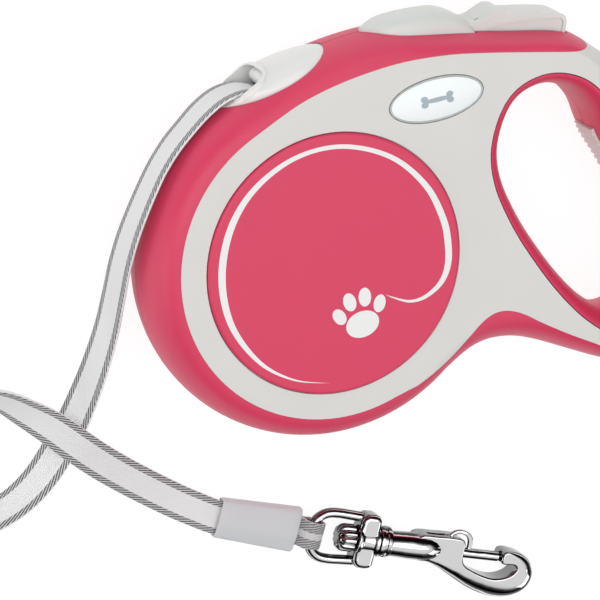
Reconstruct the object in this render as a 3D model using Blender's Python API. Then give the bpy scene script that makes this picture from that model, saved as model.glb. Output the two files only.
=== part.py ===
"""Retractable tape leash, modelled as the separate pieces it is assembled from.

Frame: the leash lies on its side.  +X runs along the length from the drum to the grip, +Y points
to the brake button, +Z points up out of the side that faces the viewer.  The origin is the middle
of the rear disc's resting face, on the reel's axis.  Lengths below are millimetres and angles are
degrees; mesh_object() turns them into metres.
"""
import math

import bmesh
import bpy
from mathutils import Matrix, Vector

MM = 0.001
GAP = 0.3                       # clearance between neighbouring pieces

# ---- housing -------------------------------------------------------------------------------
THICKNESS = 36.0                # between the two disc faces
MID = THICKNESS / 2             # parting plane of the two halves
CASE_HALF = 17.0                # half thickness of the casing at the drum
DRUM_RADIUS = 59.5
RING_RADIUS = 50.5              # the pale ring round the disc ends here
DRUM_RIM = DRUM_RADIUS - RING_RADIUS
BADGE_CENTRE = (31.0, 51.5)
BADGE_AXES = (15.8, 6.9)
BADGE_ANGLE = 11.5
DISC_RADIUS = 42.0
DISC_THICKNESS = 2.0
CASE_WALL = 2.4
CAVITY_HALF = 13.6              # half height of the hollow inside
DRUM_ARC = (118.0, 318.0)       # the outline is the drum's circle between these angles

# Outline from the drum's lower right, round the grip and back along the top: x, y, rim width.
HANDLE_OUTLINE = [
    (50.0, -35.2, 10.0), (55.2, -32.4, 11.0), (61.0, -31.0, 11.0), (68.0, -30.9, 10.0),
    (76.5, -32.6, 8.5), (88.0, -36.2, 7.0), (100.0, -39.8, 7.0), (112.0, -41.2, 8.0),
    (123.0, -38.0, 8.5), (130.5, -29.0, 9.0), (132.8, -16.0, 9.0), (130.6, 1.0, 9.0),
    (125.4, 18.0, 9.0), (118.4, 33.0, 9.0), (109.5, 47.0, 8.5), (100.5, 56.8, 7.5),
    (90.5, 63.4, 6.0), (82.5, 67.9, 5.0), (74.0, 70.2, 5.0), (56.0, 70.6, 5.0),
    (36.0, 71.2, 6.0), (20.0, 71.2, 7.4), (8.0, 69.2, 8.6), (-5.0, 65.0, 9.0), (-17.0, 59.2, 9.0),
]

# Boundary between the pale frame and the soft rim band, upper run then lower run.
BAND_TOP = [
    (92.0, 69.0), (87.0, 66.2), (82.0, 65.4), (76.0, 65.1), (62.0, 65.4), (48.0, 65.6),
    (34.0, 65.3), (19.0, 63.4), (5.5, 59.8), (-5.5, 55.7), (-14.4, 51.3), (-22.2, 46.15),
]
BAND_ARC = (124.5, 298.0)
BAND_LOWER = [
    (31.0, -41.4), (37.5, -36.9), (43.0, -32.0), (48.0, -26.2), (52.0, -21.6), (56.0, -19.0),
    (60.5, -18.4), (66.0, -19.8), (73.0, -23.2), (83.0, -27.6), (94.0, -31.9), (105.0, -37.0),
    (113.0, -44.0),
]

# Finger opening at the parting plane, where it is narrowest.
FINGER_OPENING = [
    (56.6, 36.0), (58.2, 25.0), (64.6, 12.6), (72.6, 1.4), (82.0, -9.6), (92.0, -18.6),
    (101.5, -23.4), (109.4, -21.0), (112.2, -10.0), (108.2, 6.0), (100.6, 22.4), (92.2, 34.4),
    (87.0, 44.4), (79.0, 51.2), (69.0, 52.6), (60.4, 47.6),
]
OPENING_SAMPLES_PER_SPAN = 2
LINER_FLARE = 5.5               # how far the liner's edge stands back at the faces
LINER_WALL = 2.2
PAD_SPAN = (18, 22)             # samples of the opening's outline that the pad covers
PAD_HALF = 6.2
PAD_PROUD = 0.9

# ---- nozzle, a blister on the drum's rim ----------------------------------------------------
NOZZLE_CENTRE = Vector((-17.2, 56.5, MID))
NOZZLE_AXES = (20.5, 4.9, 12.4)
NOZZLE_ANGLE = 24.0
MOUTH_POINT = Vector((-20.7, 60.2))
MOUTH_NORMAL = Vector((-0.655, 0.756))
TUNNEL_THROUGH = Vector((-22.0, 53.9))
TUNNEL_DIRECTION = Vector((0.977, -0.21))
TUNNEL_HALF = (5.0, 8.8)        # across the tape, along its width

# ---- screws ---------------------------------------------------------------------------------
SCREW_PLACES = [(46.0, 38.0), (58.5, -12.0), (112.0, -32.0), (99.4, 48.0), (119.6, 6.0)]
SCREW_RADIUS = 1.5
SCREW_HEAD = (2.9, 1.8)         # radius, height
BOSS_RADIUS = 4.2
CASE_SCREW_SEAT = 4.6           # heights of the shoulders that the heads bear on
AXLE_SCREW_SEAT = 4.7

# ---- reel and spring -----------------------------------------------------------------------
AXLE_RADIUS = 4.0
HUB_RADIUS = 26.0
HUB_WALL = 2.4
FLANGE_RADIUS = 50.0
FLANGE_THICKNESS = 1.5
RATCHET_RADIUS = 53.0
RATCHET_TEETH = 24
PAWL_ANGLE = 50.0               # where the brake's pawl meets the ratchet
WOUND_RADIUS = 46.6             # 3.9 m of tape on the hub
SPRING_TURNS = 6
SPRING_BAND = 0.8

# ---- brake ---------------------------------------------------------------------------------
BUTTON_HALF = 6.5               # half width across the thickness
FAIRING_HALF = 9.4
FAIRING_PROFILE = [
    (9.5, 67.0), (48.6, 67.0), (46.9, 70.4), (44.6, 73.4), (38.6, 76.3), (36.4, 76.6),
    (28.0, 75.7), (19.0, 73.9), (9.5, 70.6),
]
FAIRING_BOW = [                 # along x, half width of the front end
    (10.8, 0.4), (12.6, 2.6), (15.0, 5.2), (18.0, 7.5), (22.0, 9.0), (27.0, 9.4), (36.0, 8.9),
    (48.6, 8.2),
]
BUTTON_PROFILE = [
    (37.6, 67.0), (78.2, 66.4), (78.8, 73.2), (77.0, 75.1), (66.0, 75.6), (58.6, 75.4),
    (57.4, 76.8), (54.6, 76.9), (51.0, 75.1), (47.8, 72.9), (37.6, 72.9),
]
CARRIAGE_PROFILE = [
    (36.6, 62.4), (36.6, 39.9), (32.8, 43.4), (31.0, 46.6), (31.0, 65.4), (74.0, 65.4),
    (74.0, 62.4),
]

# ---- tape ----------------------------------------------------------------------------------
TAPE_WIDTH = 11.5
TAPE_THICKNESS = 1.2
TAPE_EXIT = Vector((-23.5, 52.8, MID))

# Middle line of the free tape and the lean of its face from the horizontal.
TAPE_ROUTE = [
    (-23.7, 52.8, 18.0, 90), (-28.8, 53.1, 18.3, 84), (-35.0, 51.1, 18.8, 80),
    (-40.5, 47.1, 19.2, 79), (-45.4, 42.0, 19.7, 80), (-50.3, 36.4, 20.4, 80),
    (-54.7, 29.8, 21.1, 80), (-58.0, 23.0, 21.5, 79), (-60.8, 15.6, 21.2, 78),
    (-62.9, 7.2, 19.5, 77), (-63.9, -2.4, 16.2, 76), (-64.1, -12.8, 12.4, 74),
    (-64.6, -23.6, 9.0, 70), (-66.4, -34.2, 6.8, 65), (-69.4, -44.8, 5.7, 59),
    (-73.8, -56.6, 4.9, 51), (-79.0, -67.0, 4.7, 45), (-84.8, -75.2, 4.9, 49),
    (-92.2, -81.8, 5.1, 53), (-101.2, -86.2, 5.1, 53), (-111.8, -87.8, 5.0, 51),
    (-122.0, -84.8, 4.9, 50), (-129.4, -76.8, 5.0, 50), (-131.2, -65.8, 5.2, 50),
    (-126.8, -54.8, 5.6, 50), (-117.8, -47.2, 6.6, 50), (-107.4, -44.6, 8.2, 49),
    (-98.6, -46.0, 9.6, 44), (-90.4, -50.4, 10.4, 30), (-82.0, -55.8, 10.5, 12),
    (-73.0, -62.8, 8.8, 3), (-62.8, -70.4, 5.4, 0), (-51.4, -77.8, 2.4, 0),
    (-38.4, -85.2, 1.3, 0), (-30.4, -89.0, 2.2, 0), (-23.1, -92.0, 3.2, 0),
    (-16.4, -93.6, 3.3, 0), (-10.0, -95.1, 3.3, 0),
]
TAPE_SAMPLES_PER_SPAN = 2
SLEEVE_START = Vector((-22.8, -92.1, 3.3))
SLEEVE_LENGTH = 28.2
SLEEVE_WIDTHS = (13.4, 15.4)
SLEEVE_HEIGHT = 6.0
LOOP_WIDTH = 9.0
LOOP_THICKNESS = 1.1

# ---- snap hook -----------------------------------------------------------------------------
HOOK_AXIS = Vector((32.5, -103.7, 5.35))     # middle of the swivel's outer face
HOOK_ANGLE = -10.5                           # the hook points this far below +X
BARREL_RADIUS = 5.2
POST_RADIUS = 2.4
EYE_BAR_REACH = 2.7             # corners of the bar from its middle
EYE_PIVOT_U = -23.7                          # middle of the bar that the tape goes round
GATE_RADIUS = 1.7
GATE_V = -0.8
HOOK_HALF_THICKNESS = 3.9
SHANK_V = -0.4                  # the shank's middle, across from the swivel's axis
SHANK_RADIUS = 4.6
EYE_OUTER = [
    (-0.4, -9.2), (-0.4, 9.2), (-15.0, 9.6), (-20.6, 8.9), (-24.0, 6.2), (-25.5, 2.4),
    (-25.5, -2.4), (-24.0, -6.2), (-20.6, -8.9), (-15.0, -9.6),
]
EYE_INNER = [
    (-7.9, -6.3), (-7.9, 6.3), (-16.0, 6.3), (-20.0, 5.8), (-21.9, 4.9), (-21.9, -4.9),
    (-20.0, -5.8), (-16.0, -6.3),
]
HOOK_OUTLINE = [
    (14.0, -3.8), (14.0, 3.6), (22.0, 4.5), (27.0, 4.6), (30.0, 4.3), (31.3, 3.0),
     (31.5, 0.2), (31.6, -2.4),
    (33.0, -4.6), (36.4, -6.2), (40.4, -7.4), (44.0, -8.0), (47.4, -7.6), (50.4, -6.2),
    (52.0, -4.2), (51.0, -2.7), (46.4, -2.6), (46.0, 0.6), (47.4, 1.7), (50.4, 1.7),
    (54.2, 0.8), (57.6, -1.4), (59.4, -4.8), (59.2, -8.6), (57.2, -11.9), (53.6, -14.3),
    (49.2, -15.4), (44.0, -15.1), (38.6, -13.6), (33.8, -11.5), (28.8, -9.0), (24.0, -6.6),
    (19.4, -4.9),
]

# ---- materials: colour, roughness, metallic ------------------------------------------------
MATERIALS = {
    "pale_plastic": ((0.70, 0.69, 0.66), 0.42, 0.0),
    "soft_red": ((0.70, 0.075, 0.13), 0.48, 0.0),
    "disc_red": ((0.72, 0.07, 0.13), 0.38, 0.0),
    "white_plastic": ((0.80, 0.80, 0.78), 0.32, 0.0),
    "button_grey": ((0.70, 0.71, 0.66), 0.38, 0.0),
    "badge_clear": ((0.80, 0.84, 0.84), 0.10, 0.0),
    "woven_tape": ((0.62, 0.62, 0.62), 0.85, 0.0),
    "sleeve_grey": ((0.62, 0.62, 0.66), 0.55, 0.0),
    "chrome": ((0.80, 0.80, 0.80), 0.12, 1.0),
    "steel": ((0.50, 0.50, 0.52), 0.30, 1.0),
    "inner_plastic": ((0.10, 0.10, 0.11), 0.50, 0.0),
}


def material(name):
    """The named material, made the first time it is asked for."""
    found = bpy.data.materials.get(name)
    if found:
        return found
    colour, roughness, metallic = MATERIALS[name]
    made = bpy.data.materials.new(name)
    made.use_nodes = True
    shader = made.node_tree.nodes["Principled BSDF"]
    shader.inputs["Base Color"].default_value = (*colour, 1.0)
    shader.inputs["Roughness"].default_value = roughness
    shader.inputs["Metallic"].default_value = metallic
    return made


# ---- mesh tools ----------------------------------------------------------------------------
def mesh_object(name, bm, material_name=None):
    """Turn a bmesh in millimetres into an object in metres with its faces pointing out."""
    bmesh.ops.scale(bm, vec=(MM, MM, MM), verts=bm.verts)
    bmesh.ops.recalc_face_normals(bm, faces=bm.faces)
    mesh = bpy.data.meshes.new(name)
    bm.to_mesh(mesh)
    bm.free()
    mesh.shade_smooth()
    mesh.set_sharp_from_angle(angle=math.radians(35))
    thing = bpy.data.objects.new(name, mesh)
    bpy.context.scene.collection.objects.link(thing)
    if material_name:
        mesh.materials.append(material(material_name))
    return thing


def loft(name, rings, material_name=None):
    """Closed solid through rings of equal length, capped at both ends."""
    bm = bmesh.new()
    loops = [[bm.verts.new(point) for point in ring] for ring in rings]
    count = len(loops[0])
    for lower, upper in zip(loops, loops[1:]):
        for k in range(count):
            n = (k + 1) % count
            bm.faces.new((lower[k], lower[n], upper[n], upper[k]))
    bm.faces.new(loops[0][::-1])
    bm.faces.new(loops[-1])
    return mesh_object(name, bm, material_name)


def prism(name, outline, low, high, material_name=None):
    """Outline in the XY plane, extruded along Z from low to high."""
    rings = [[(p[0], p[1], z) for p in outline] for z in (low, high)]
    return loft(name, rings, material_name)


def turned(name, profile, centre=(0.0, 0.0), segments=48, material_name=None):
    """Closed profile of (radius, z) points turned about a vertical axis."""
    bm = bmesh.new()
    loops = []
    for k in range(segments):
        turn = 2 * math.pi * k / segments
        loops.append([
            bm.verts.new((centre[0] + r * math.cos(turn), centre[1] + r * math.sin(turn), z))
            for r, z in profile
        ])
    for k in range(segments):
        here, there = loops[k], loops[(k + 1) % segments]
        for j in range(len(profile)):
            n = (j + 1) % len(profile)
            bm.faces.new((here[j], there[j], there[n], here[n]))
    return mesh_object(name, bm, material_name)


def rod(name, start, end, radius, segments=16, material_name=None):
    """Solid cylinder between two points."""
    start, end = Vector(start), Vector(end)
    bm = bmesh.new()
    turn = (end - start).to_track_quat("Z", "Y").to_matrix().to_4x4()
    place = Matrix.Translation((start + end) / 2) @ turn
    bmesh.ops.create_cone(
        bm, cap_ends=True, segments=segments, radius1=radius, radius2=radius,
        depth=(end - start).length, matrix=place,
    )
    return mesh_object(name, bm, material_name)


def block(name, low, high, material_name=None):
    """Box between two corners."""
    outline = [(low[0], low[1]), (high[0], low[1]), (high[0], high[1]), (low[0], high[1])]
    return prism(name, outline, low[2], high[2], material_name)


def ellipsoid(name, centre, axes, angle, grow=0.0):
    """Ellipsoid with its long axis turned by angle in the XY plane."""
    bm = bmesh.new()
    size = Matrix.Diagonal([a + grow for a in axes] + [1.0])
    place = Matrix.Translation(centre) @ Matrix.Rotation(math.radians(angle), 4, "Z") @ size
    bmesh.ops.create_uvsphere(bm, u_segments=24, v_segments=12, radius=1.0, matrix=place)
    return mesh_object(name, bm)


def combine(target, tool, operation):
    """Boolean the tool into the target and remove the tool."""
    step = target.modifiers.new("cut", "BOOLEAN")
    step.operation = operation
    step.solver = "EXACT"
    step.object = tool
    bpy.context.view_layer.update()
    evaluated = target.evaluated_get(bpy.context.evaluated_depsgraph_get())
    result = bpy.data.meshes.new_from_object(evaluated)
    target.modifiers.clear()
    old = target.data
    target.data = result
    bpy.data.meshes.remove(old)
    bpy.data.objects.remove(tool)
    return target


def copy_of(thing, name, material_name=None):
    """Independent copy under a new name."""
    twin = thing.copy()
    twin.data = thing.data.copy()
    twin.name = name
    twin.data.name = name
    bpy.context.scene.collection.objects.link(twin)
    if material_name:
        twin.data.materials.clear()
        twin.data.materials.append(material(material_name))
    return twin


def mirrored(thing, name):
    """Copy mirrored through the parting plane."""
    twin = copy_of(thing, name)
    flip = Matrix.Translation((0, 0, 2 * MID * MM)) @ Matrix.Diagonal((1, 1, -1, 1))
    twin.data.transform(flip)
    twin.data.flip_normals()
    return twin


# ---- curves --------------------------------------------------------------------------------
def spline_point(p0, p1, p2, p3, t):
    """Catmull-Rom point between p1 and p2, for tuples of any length."""
    return tuple(
        0.5 * (2 * b + (c - a) * t + (2 * a - 5 * b + 4 * c - d) * t * t
               + (3 * b - a - 3 * c + d) * t ** 3)
        for a, b, c, d in zip(p0, p1, p2, p3)
    )


def smooth(points, per_span, closed=False):
    """Smooth curve through the points, per_span samples to each span."""
    count = len(points)
    last = count if closed else count - 1
    samples = []
    for k in range(last):
        if closed:
            four = [points[(k + j) % count] for j in (-1, 0, 1, 2)]
        else:
            four = [points[min(max(k + j, 0), count - 1)] for j in (-1, 0, 1, 2)]
        samples += [spline_point(*four, j / per_span) for j in range(per_span)]
    if not closed:
        samples.append(tuple(points[-1]))
    return samples


def arc(radius, start, end, step):
    """Points on a circle about the reel's axis, both ends included."""
    count = round(abs(end - start) / step)
    turns = [math.radians(start + (end - start) * k / count) for k in range(count + 1)]
    return [(radius * math.cos(t), radius * math.sin(t)) for t in turns]


def inward_normals(outline, closed=True):
    """Unit normals to the left of an outline's direction, which is inward when it runs CCW."""
    normals = []
    count = len(outline)
    for k in range(count):
        before = outline[(k - 1) % count] if closed else outline[max(k - 1, 0)]
        after = outline[(k + 1) % count] if closed else outline[min(k + 1, count - 1)]
        run = Vector((after[0] - before[0], after[1] - before[1])).normalized()
        normals.append(Vector((-run.y, run.x)))
    return normals


def case_outline():
    """Housing outline at the parting plane as (x, y, rim width), counter-clockwise."""
    drum = [(x, y, DRUM_RIM) for x, y in arc(DRUM_RADIUS, *DRUM_ARC, 10.0)]
    handle = smooth([drum[-1], *HANDLE_OUTLINE, drum[0]], 2)
    return drum + handle[1:-1]


def rim_rings(outline, normals, inset, half, low, steps=4):
    """Rings of a quarter-round edge, as wide as the rim, from height low up to MID + half."""
    rings = []
    for k in range(steps + 1):
        t = math.pi / 2 * k / steps
        z = max(half * math.sin(t), low - MID)
        ring = []
        for (x, y, rim), normal in zip(outline, normals):
            back = inset + rim * (1 - math.cos(t))
            ring.append((x + normal.x * back, y + normal.y * back, MID + z))
        rings.append(ring)
    return rings


def opening_rings(levels):
    """Rings round the finger opening: each level is how far it is grown, and its height."""
    outline = smooth(FINGER_OPENING, OPENING_SAMPLES_PER_SPAN, closed=True)
    normals = inward_normals(outline)
    rings = []
    for grown, height in levels:
        ring = []
        for (x, y), normal in zip(outline, normals):
            ring.append((x - normal.x * grown, y - normal.y * grown, MID + height))
        rings.append(ring)
    return rings


# ---- housing -------------------------------------------------------------------------------
def half_blank(name):
    """Upper half of the housing as a solid with its edge rounded."""
    outline = case_outline()
    return loft(name, rim_rings(outline, inward_normals(outline), 0.0, CASE_HALF, MID + GAP / 2))


def half_shell(name):
    """Hollow upper half of the housing, before it is parted into frame and band."""
    outline = case_outline()
    normals = inward_normals(outline)
    shell = half_blank(name)
    hollow_rings = rim_rings(outline, normals, CASE_WALL, CAVITY_HALF, MID, 3)
    hollow_rings.insert(0, [(x, y, MID - 2) for x, y, _ in hollow_rings[0]])
    hollow = loft("hollow", hollow_rings)
    wall = LINER_WALL + GAP + CASE_WALL
    core = loft("core", opening_rings([
        (wall, -6), (wall, 9), (LINER_FLARE + GAP + CASE_WALL, 14), (LINER_FLARE + wall, 24),
    ]))
    combine(hollow, core, "DIFFERENCE")
    combine(shell, hollow, "DIFFERENCE")
    socket = loft("socket", opening_rings([
        (LINER_WALL + GAP, -6), (LINER_WALL + GAP, 8.3), (LINER_FLARE + GAP, 12.6),
        (LINER_FLARE + GAP, 24),
    ]))
    return combine(shell, socket, "DIFFERENCE")


def band_region(grow):
    """Prism that holds everything outside the line between pale frame and rim band."""
    line = smooth(BAND_TOP, 2) + arc(RING_RADIUS, *BAND_ARC, 7.0) + smooth(BAND_LOWER, 2)
    normals = inward_normals(line, closed=False)
    edge = [(x - n.x * grow, y - n.y * grow) for (x, y), n in zip(line, normals)]
    outside = [(150.0, -44.0), (150.0, -120.0), (-120.0, -120.0), (-120.0, 120.0), (92.0, 120.0)]
    return prism("band_region", edge + outside, -20.0, THICKNESS + 20.0)


def fairing_blank(grow):
    """Outer shape of the brake fairing, grown on all sides by grow."""
    normals = inward_normals(FAIRING_PROFILE)
    outline = [(x - n.x * grow, y - n.y * grow) for (x, y), n in zip(FAIRING_PROFILE, normals)]
    half = FAIRING_HALF + grow
    fairing = prism("fairing", outline, MID - half, MID + half)
    combine(fairing, bow_shape(grow), "INTERSECT")
    return fairing


def bow_shape(grow):
    """Upright solid that narrows the fairing's front end like a boat's bow."""
    side = [(x, h + grow) for x, h in FAIRING_BOW]
    tip_x = FAIRING_BOW[0][0] - 1.6 * grow
    outline = [(tip_x, 0.0)] + side + [(60.0, side[-1][1])]
    outline += [(60.0, -side[-1][1])] + [(x, -h) for x, h in reversed(side)]
    rings = [[(x, y, MID + h) for x, h in outline] for y in (60.0, 85.0)]
    return loft("bow", rings)


def nozzle_blank(grow):
    """Outer shape of the tape nozzle, a long blister on the drum's rim."""
    return ellipsoid("nozzle", NOZZLE_CENTRE, NOZZLE_AXES, NOZZLE_ANGLE, grow)


def frame_and_bands():
    """The two pale casings, the two soft rim bands, and the seats cut into them."""
    shell = half_shell("front_casing")
    seat_floor = THICKNESS - DISC_THICKNESS - GAP
    combine(shell, solid_disc("seat", DISC_RADIUS + GAP, seat_floor, 50.0), "DIFFERENCE")
    band = copy_of(shell, "front_rim_band", "soft_red")
    combine(shell, band_region(0.0), "DIFFERENCE")
    combine(band, band_region(GAP), "INTERSECT")

    slot_low = (34.0, 60.0, MID - BUTTON_HALF - GAP)
    slot_high = (79.3, 80.0, MID + BUTTON_HALF + GAP)
    combine(band, block("slot", slot_low, slot_high), "DIFFERENCE")
    combine(band, fairing_blank(GAP), "DIFFERENCE")
    combine(band, nozzle_blank(GAP), "DIFFERENCE")

    shelf = block("shelf", (42.0, 46.0, MID + GAP / 2), (50.5, 47.8, 32.6))
    combine(shell, shelf, "UNION")
    shell.data.materials.clear()
    shell.data.materials.append(material("pale_plastic"))
    rear = mirrored(shell, "rear_casing")
    mirrored(band, "rear_rim_band")

    for place in SCREW_PLACES:
        tower = rod("tower", (*place, MID + 0.4), (*place, MID + CASE_HALF - 2.0), BOSS_RADIUS - 1)
        combine(shell, tower, "UNION")
        tower = rod("tower", (*place, MID + 0.4), (*place, MID + CASE_HALF - 1.0), BOSS_RADIUS)
        combine(tower, half_blank("limit"), "INTERSECT")
        combine(rear, mirrored(tower, "rear_tower"), "UNION")
        bpy.data.objects.remove(tower)
        pilot = rod("pilot", (*place, MID - 1), (*place, MID + 9.5), SCREW_RADIUS + GAP, 12)
        combine(shell, pilot, "DIFFERENCE")
        bore = rod("bore", (*place, 0.0), (*place, MID + 1), SCREW_RADIUS + GAP, 12)
        combine(rear, bore, "DIFFERENCE")
        sink = rod("sink", (*place, -2.0), (*place, CASE_SCREW_SEAT), SCREW_HEAD[0] + GAP)
        combine(rear, sink, "DIFFERENCE")

    boss = rod("boss", (0, 0, 3.0), (0, 0, 6.4), 8.0, 24)
    combine(rear, boss, "UNION")
    combine(rear, rod("bore", (0, 0, 0.0), (0, 0, 8.0), SCREW_RADIUS + GAP, 12), "DIFFERENCE")
    sink = rod("sink", (0, 0, 0.0), (0, 0, AXLE_SCREW_SEAT), SCREW_HEAD[0] + GAP)
    combine(rear, sink, "DIFFERENCE")

    recess = badge_blank("recess", GAP, 33.9, 40.0)
    combine(shell, recess, "DIFFERENCE")


def solid_disc(name, radius, low, high, material_name=None):
    """Plain disc about the reel's axis."""
    return rod(name, (0, 0, low), (0, 0, high), radius, 64, material_name)


def liners():
    """Soft red lining of the finger opening, in two halves, and the ribbed pad on the grip."""
    steps = 5
    levels = []
    for k in range(steps + 1):
        t = math.pi / 2 * k / steps
        levels.append((LINER_FLARE * (1 - math.cos(t)), max(CASE_HALF * math.sin(t), GAP / 2)))
    inner = opening_rings(levels)
    outer = opening_rings([(LINER_FLARE + 0.02, 12.9), (LINER_WALL, 8.0), (LINER_WALL, GAP / 2)])
    bm = bmesh.new()
    loops = [[bm.verts.new(p) for p in ring] for ring in inner + outer]
    count = len(loops[0])
    for j in range(len(loops)):
        here, there = loops[j], loops[(j + 1) % len(loops)]
        for k in range(count):
            n = (k + 1) % count
            bm.faces.new((here[k], here[n], there[n], there[k]))
    liner = mesh_object("front_liner", bm, "soft_red")
    combine(liner, grip_pad("pad_pocket", GAP), "DIFFERENCE")
    mirrored(liner, "rear_liner")
    grip_pad("grip_pad", 0.0, "pale_plastic")


def grip_pad(name, grow, material_name=None):
    """Ribbed strip let into the liner where the fingers pull."""
    outline = smooth(FINGER_OPENING, OPENING_SAMPLES_PER_SPAN, closed=True)
    normals = inward_normals(outline)
    outer, inner = [], []
    for k in range(PAD_SPAN[0], PAD_SPAN[1] + 1):
        (x, y), normal = outline[k], normals[k]
        back = LINER_WALL - GAP / 3 + grow * 2
        front = -PAD_PROUD - grow
        outer.append((x - normal.x * back, y - normal.y * back))
        inner.append((x - normal.x * front, y - normal.y * front))
    if grow:
        for line in (outer, inner):
            for end, beside in ((0, 1), (-1, -2)):
                run = Vector(line[end]) - Vector(line[beside])
                moved = Vector(line[end]) + run.normalized() * grow
                line[end] = (moved.x, moved.y)
    outline = outer + inner[::-1]
    half = PAD_HALF + grow
    return prism(name, outline, MID - half, MID + half, material_name)


def discs_and_badge():
    """The two side discs and the oval badge."""
    top = THICKNESS
    profile = [
        (DISC_RADIUS - 2.0, top), (DISC_RADIUS - 0.6, top - 0.3), (DISC_RADIUS, top - 1.0),
        (DISC_RADIUS, top - DISC_THICKNESS),
    ]
    front = solid_turned("front_disc", profile, "disc_red")
    mirrored(front, "rear_disc")
    badge_blank("badge", 0.0, 34.2, THICKNESS - 0.5, "badge_clear")


def solid_turned(name, profile, material_name=None, segments=64):
    """Solid of revolution about the reel's axis whose profile ends on flat discs."""
    rings = []
    for r, z in profile:
        rings.append([(x, y, z) for x, y in arc(r, 0, 360 - 360 / segments, 360 / segments)])
    return loft(name, rings, material_name)


def badge_blank(name, grow, low, high, material_name=None):
    """Oval plate with a slightly smaller top."""
    rings = []
    chamfer = 0.0 if grow else 0.8
    levels = [(low, 0.0), (high - chamfer, 0.0)]
    if chamfer:
        levels.append((high, chamfer))
    for z, back in levels:
        ring = []
        for k in range(40):
            t = 2 * math.pi * k / 40
            a = (BADGE_AXES[0] + grow - back) * math.cos(t)
            b = (BADGE_AXES[1] + grow - back) * math.sin(t)
            turn = math.radians(BADGE_ANGLE)
            x = BADGE_CENTRE[0] + a * math.cos(turn) - b * math.sin(turn)
            y = BADGE_CENTRE[1] + a * math.sin(turn) + b * math.cos(turn)
            ring.append((x, y, z))
        rings.append(ring)
    return loft(name, rings, material_name)


# ---- tape outlet ---------------------------------------------------------------------------
def outlet():
    """Nozzle blister with a slanted mouth, and the rounded guide that the tape runs under."""
    nozzle = nozzle_blank(0.0)
    nozzle.data.materials.append(material("white_plastic"))
    inside = solid_disc("inside", DRUM_RADIUS - CASE_WALL - 0.9, -10.0, 50.0)
    combine(nozzle, inside, "DIFFERENCE")

    along = Vector((MOUTH_NORMAL.y, -MOUTH_NORMAL.x))
    corners = [MOUTH_POINT - along * 40, MOUTH_POINT + along * 40]
    corners += [corners[1] + MOUTH_NORMAL * 30, corners[0] + MOUTH_NORMAL * 30]
    combine(nozzle, prism("cut", corners[::-1], -10.0, 50.0), "DIFFERENCE")

    across = Vector((-TUNNEL_DIRECTION.y, TUNNEL_DIRECTION.x))
    rings = []
    for distance in (-25.0, 30.0):
        middle = TUNNEL_THROUGH + TUNNEL_DIRECTION * distance
        ring = []
        for k in range(32):
            t = 2 * math.pi * (k + 0.5) / 32
            wide = [math.copysign(math.sqrt(abs(f)), f) for f in (math.cos(t), math.sin(t))]
            point = middle + across * TUNNEL_HALF[0] * wide[0]
            ring.append((point.x, point.y, MID + TUNNEL_HALF[1] * wide[1]))
        rings.append(ring)
    combine(nozzle, loft("tunnel", rings), "DIFFERENCE")

    guide = Vector((-20.6, 56.0))
    profile = [(0.8, -8.4), (1.0, -6.6), (2.0, -6.2), (2.4, -5.0), (2.4, 5.0), (2.0, 6.2),
               (1.0, 6.6), (0.8, 8.4)]
    rings = []
    for radius, height in profile:
        rings.append([
            (guide.x + radius * math.cos(t), guide.y + radius * math.sin(t), MID + height)
            for t in (2 * math.pi * k / 20 for k in range(20))
        ])
    loft("tape_guide", rings, "white_plastic")


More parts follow.
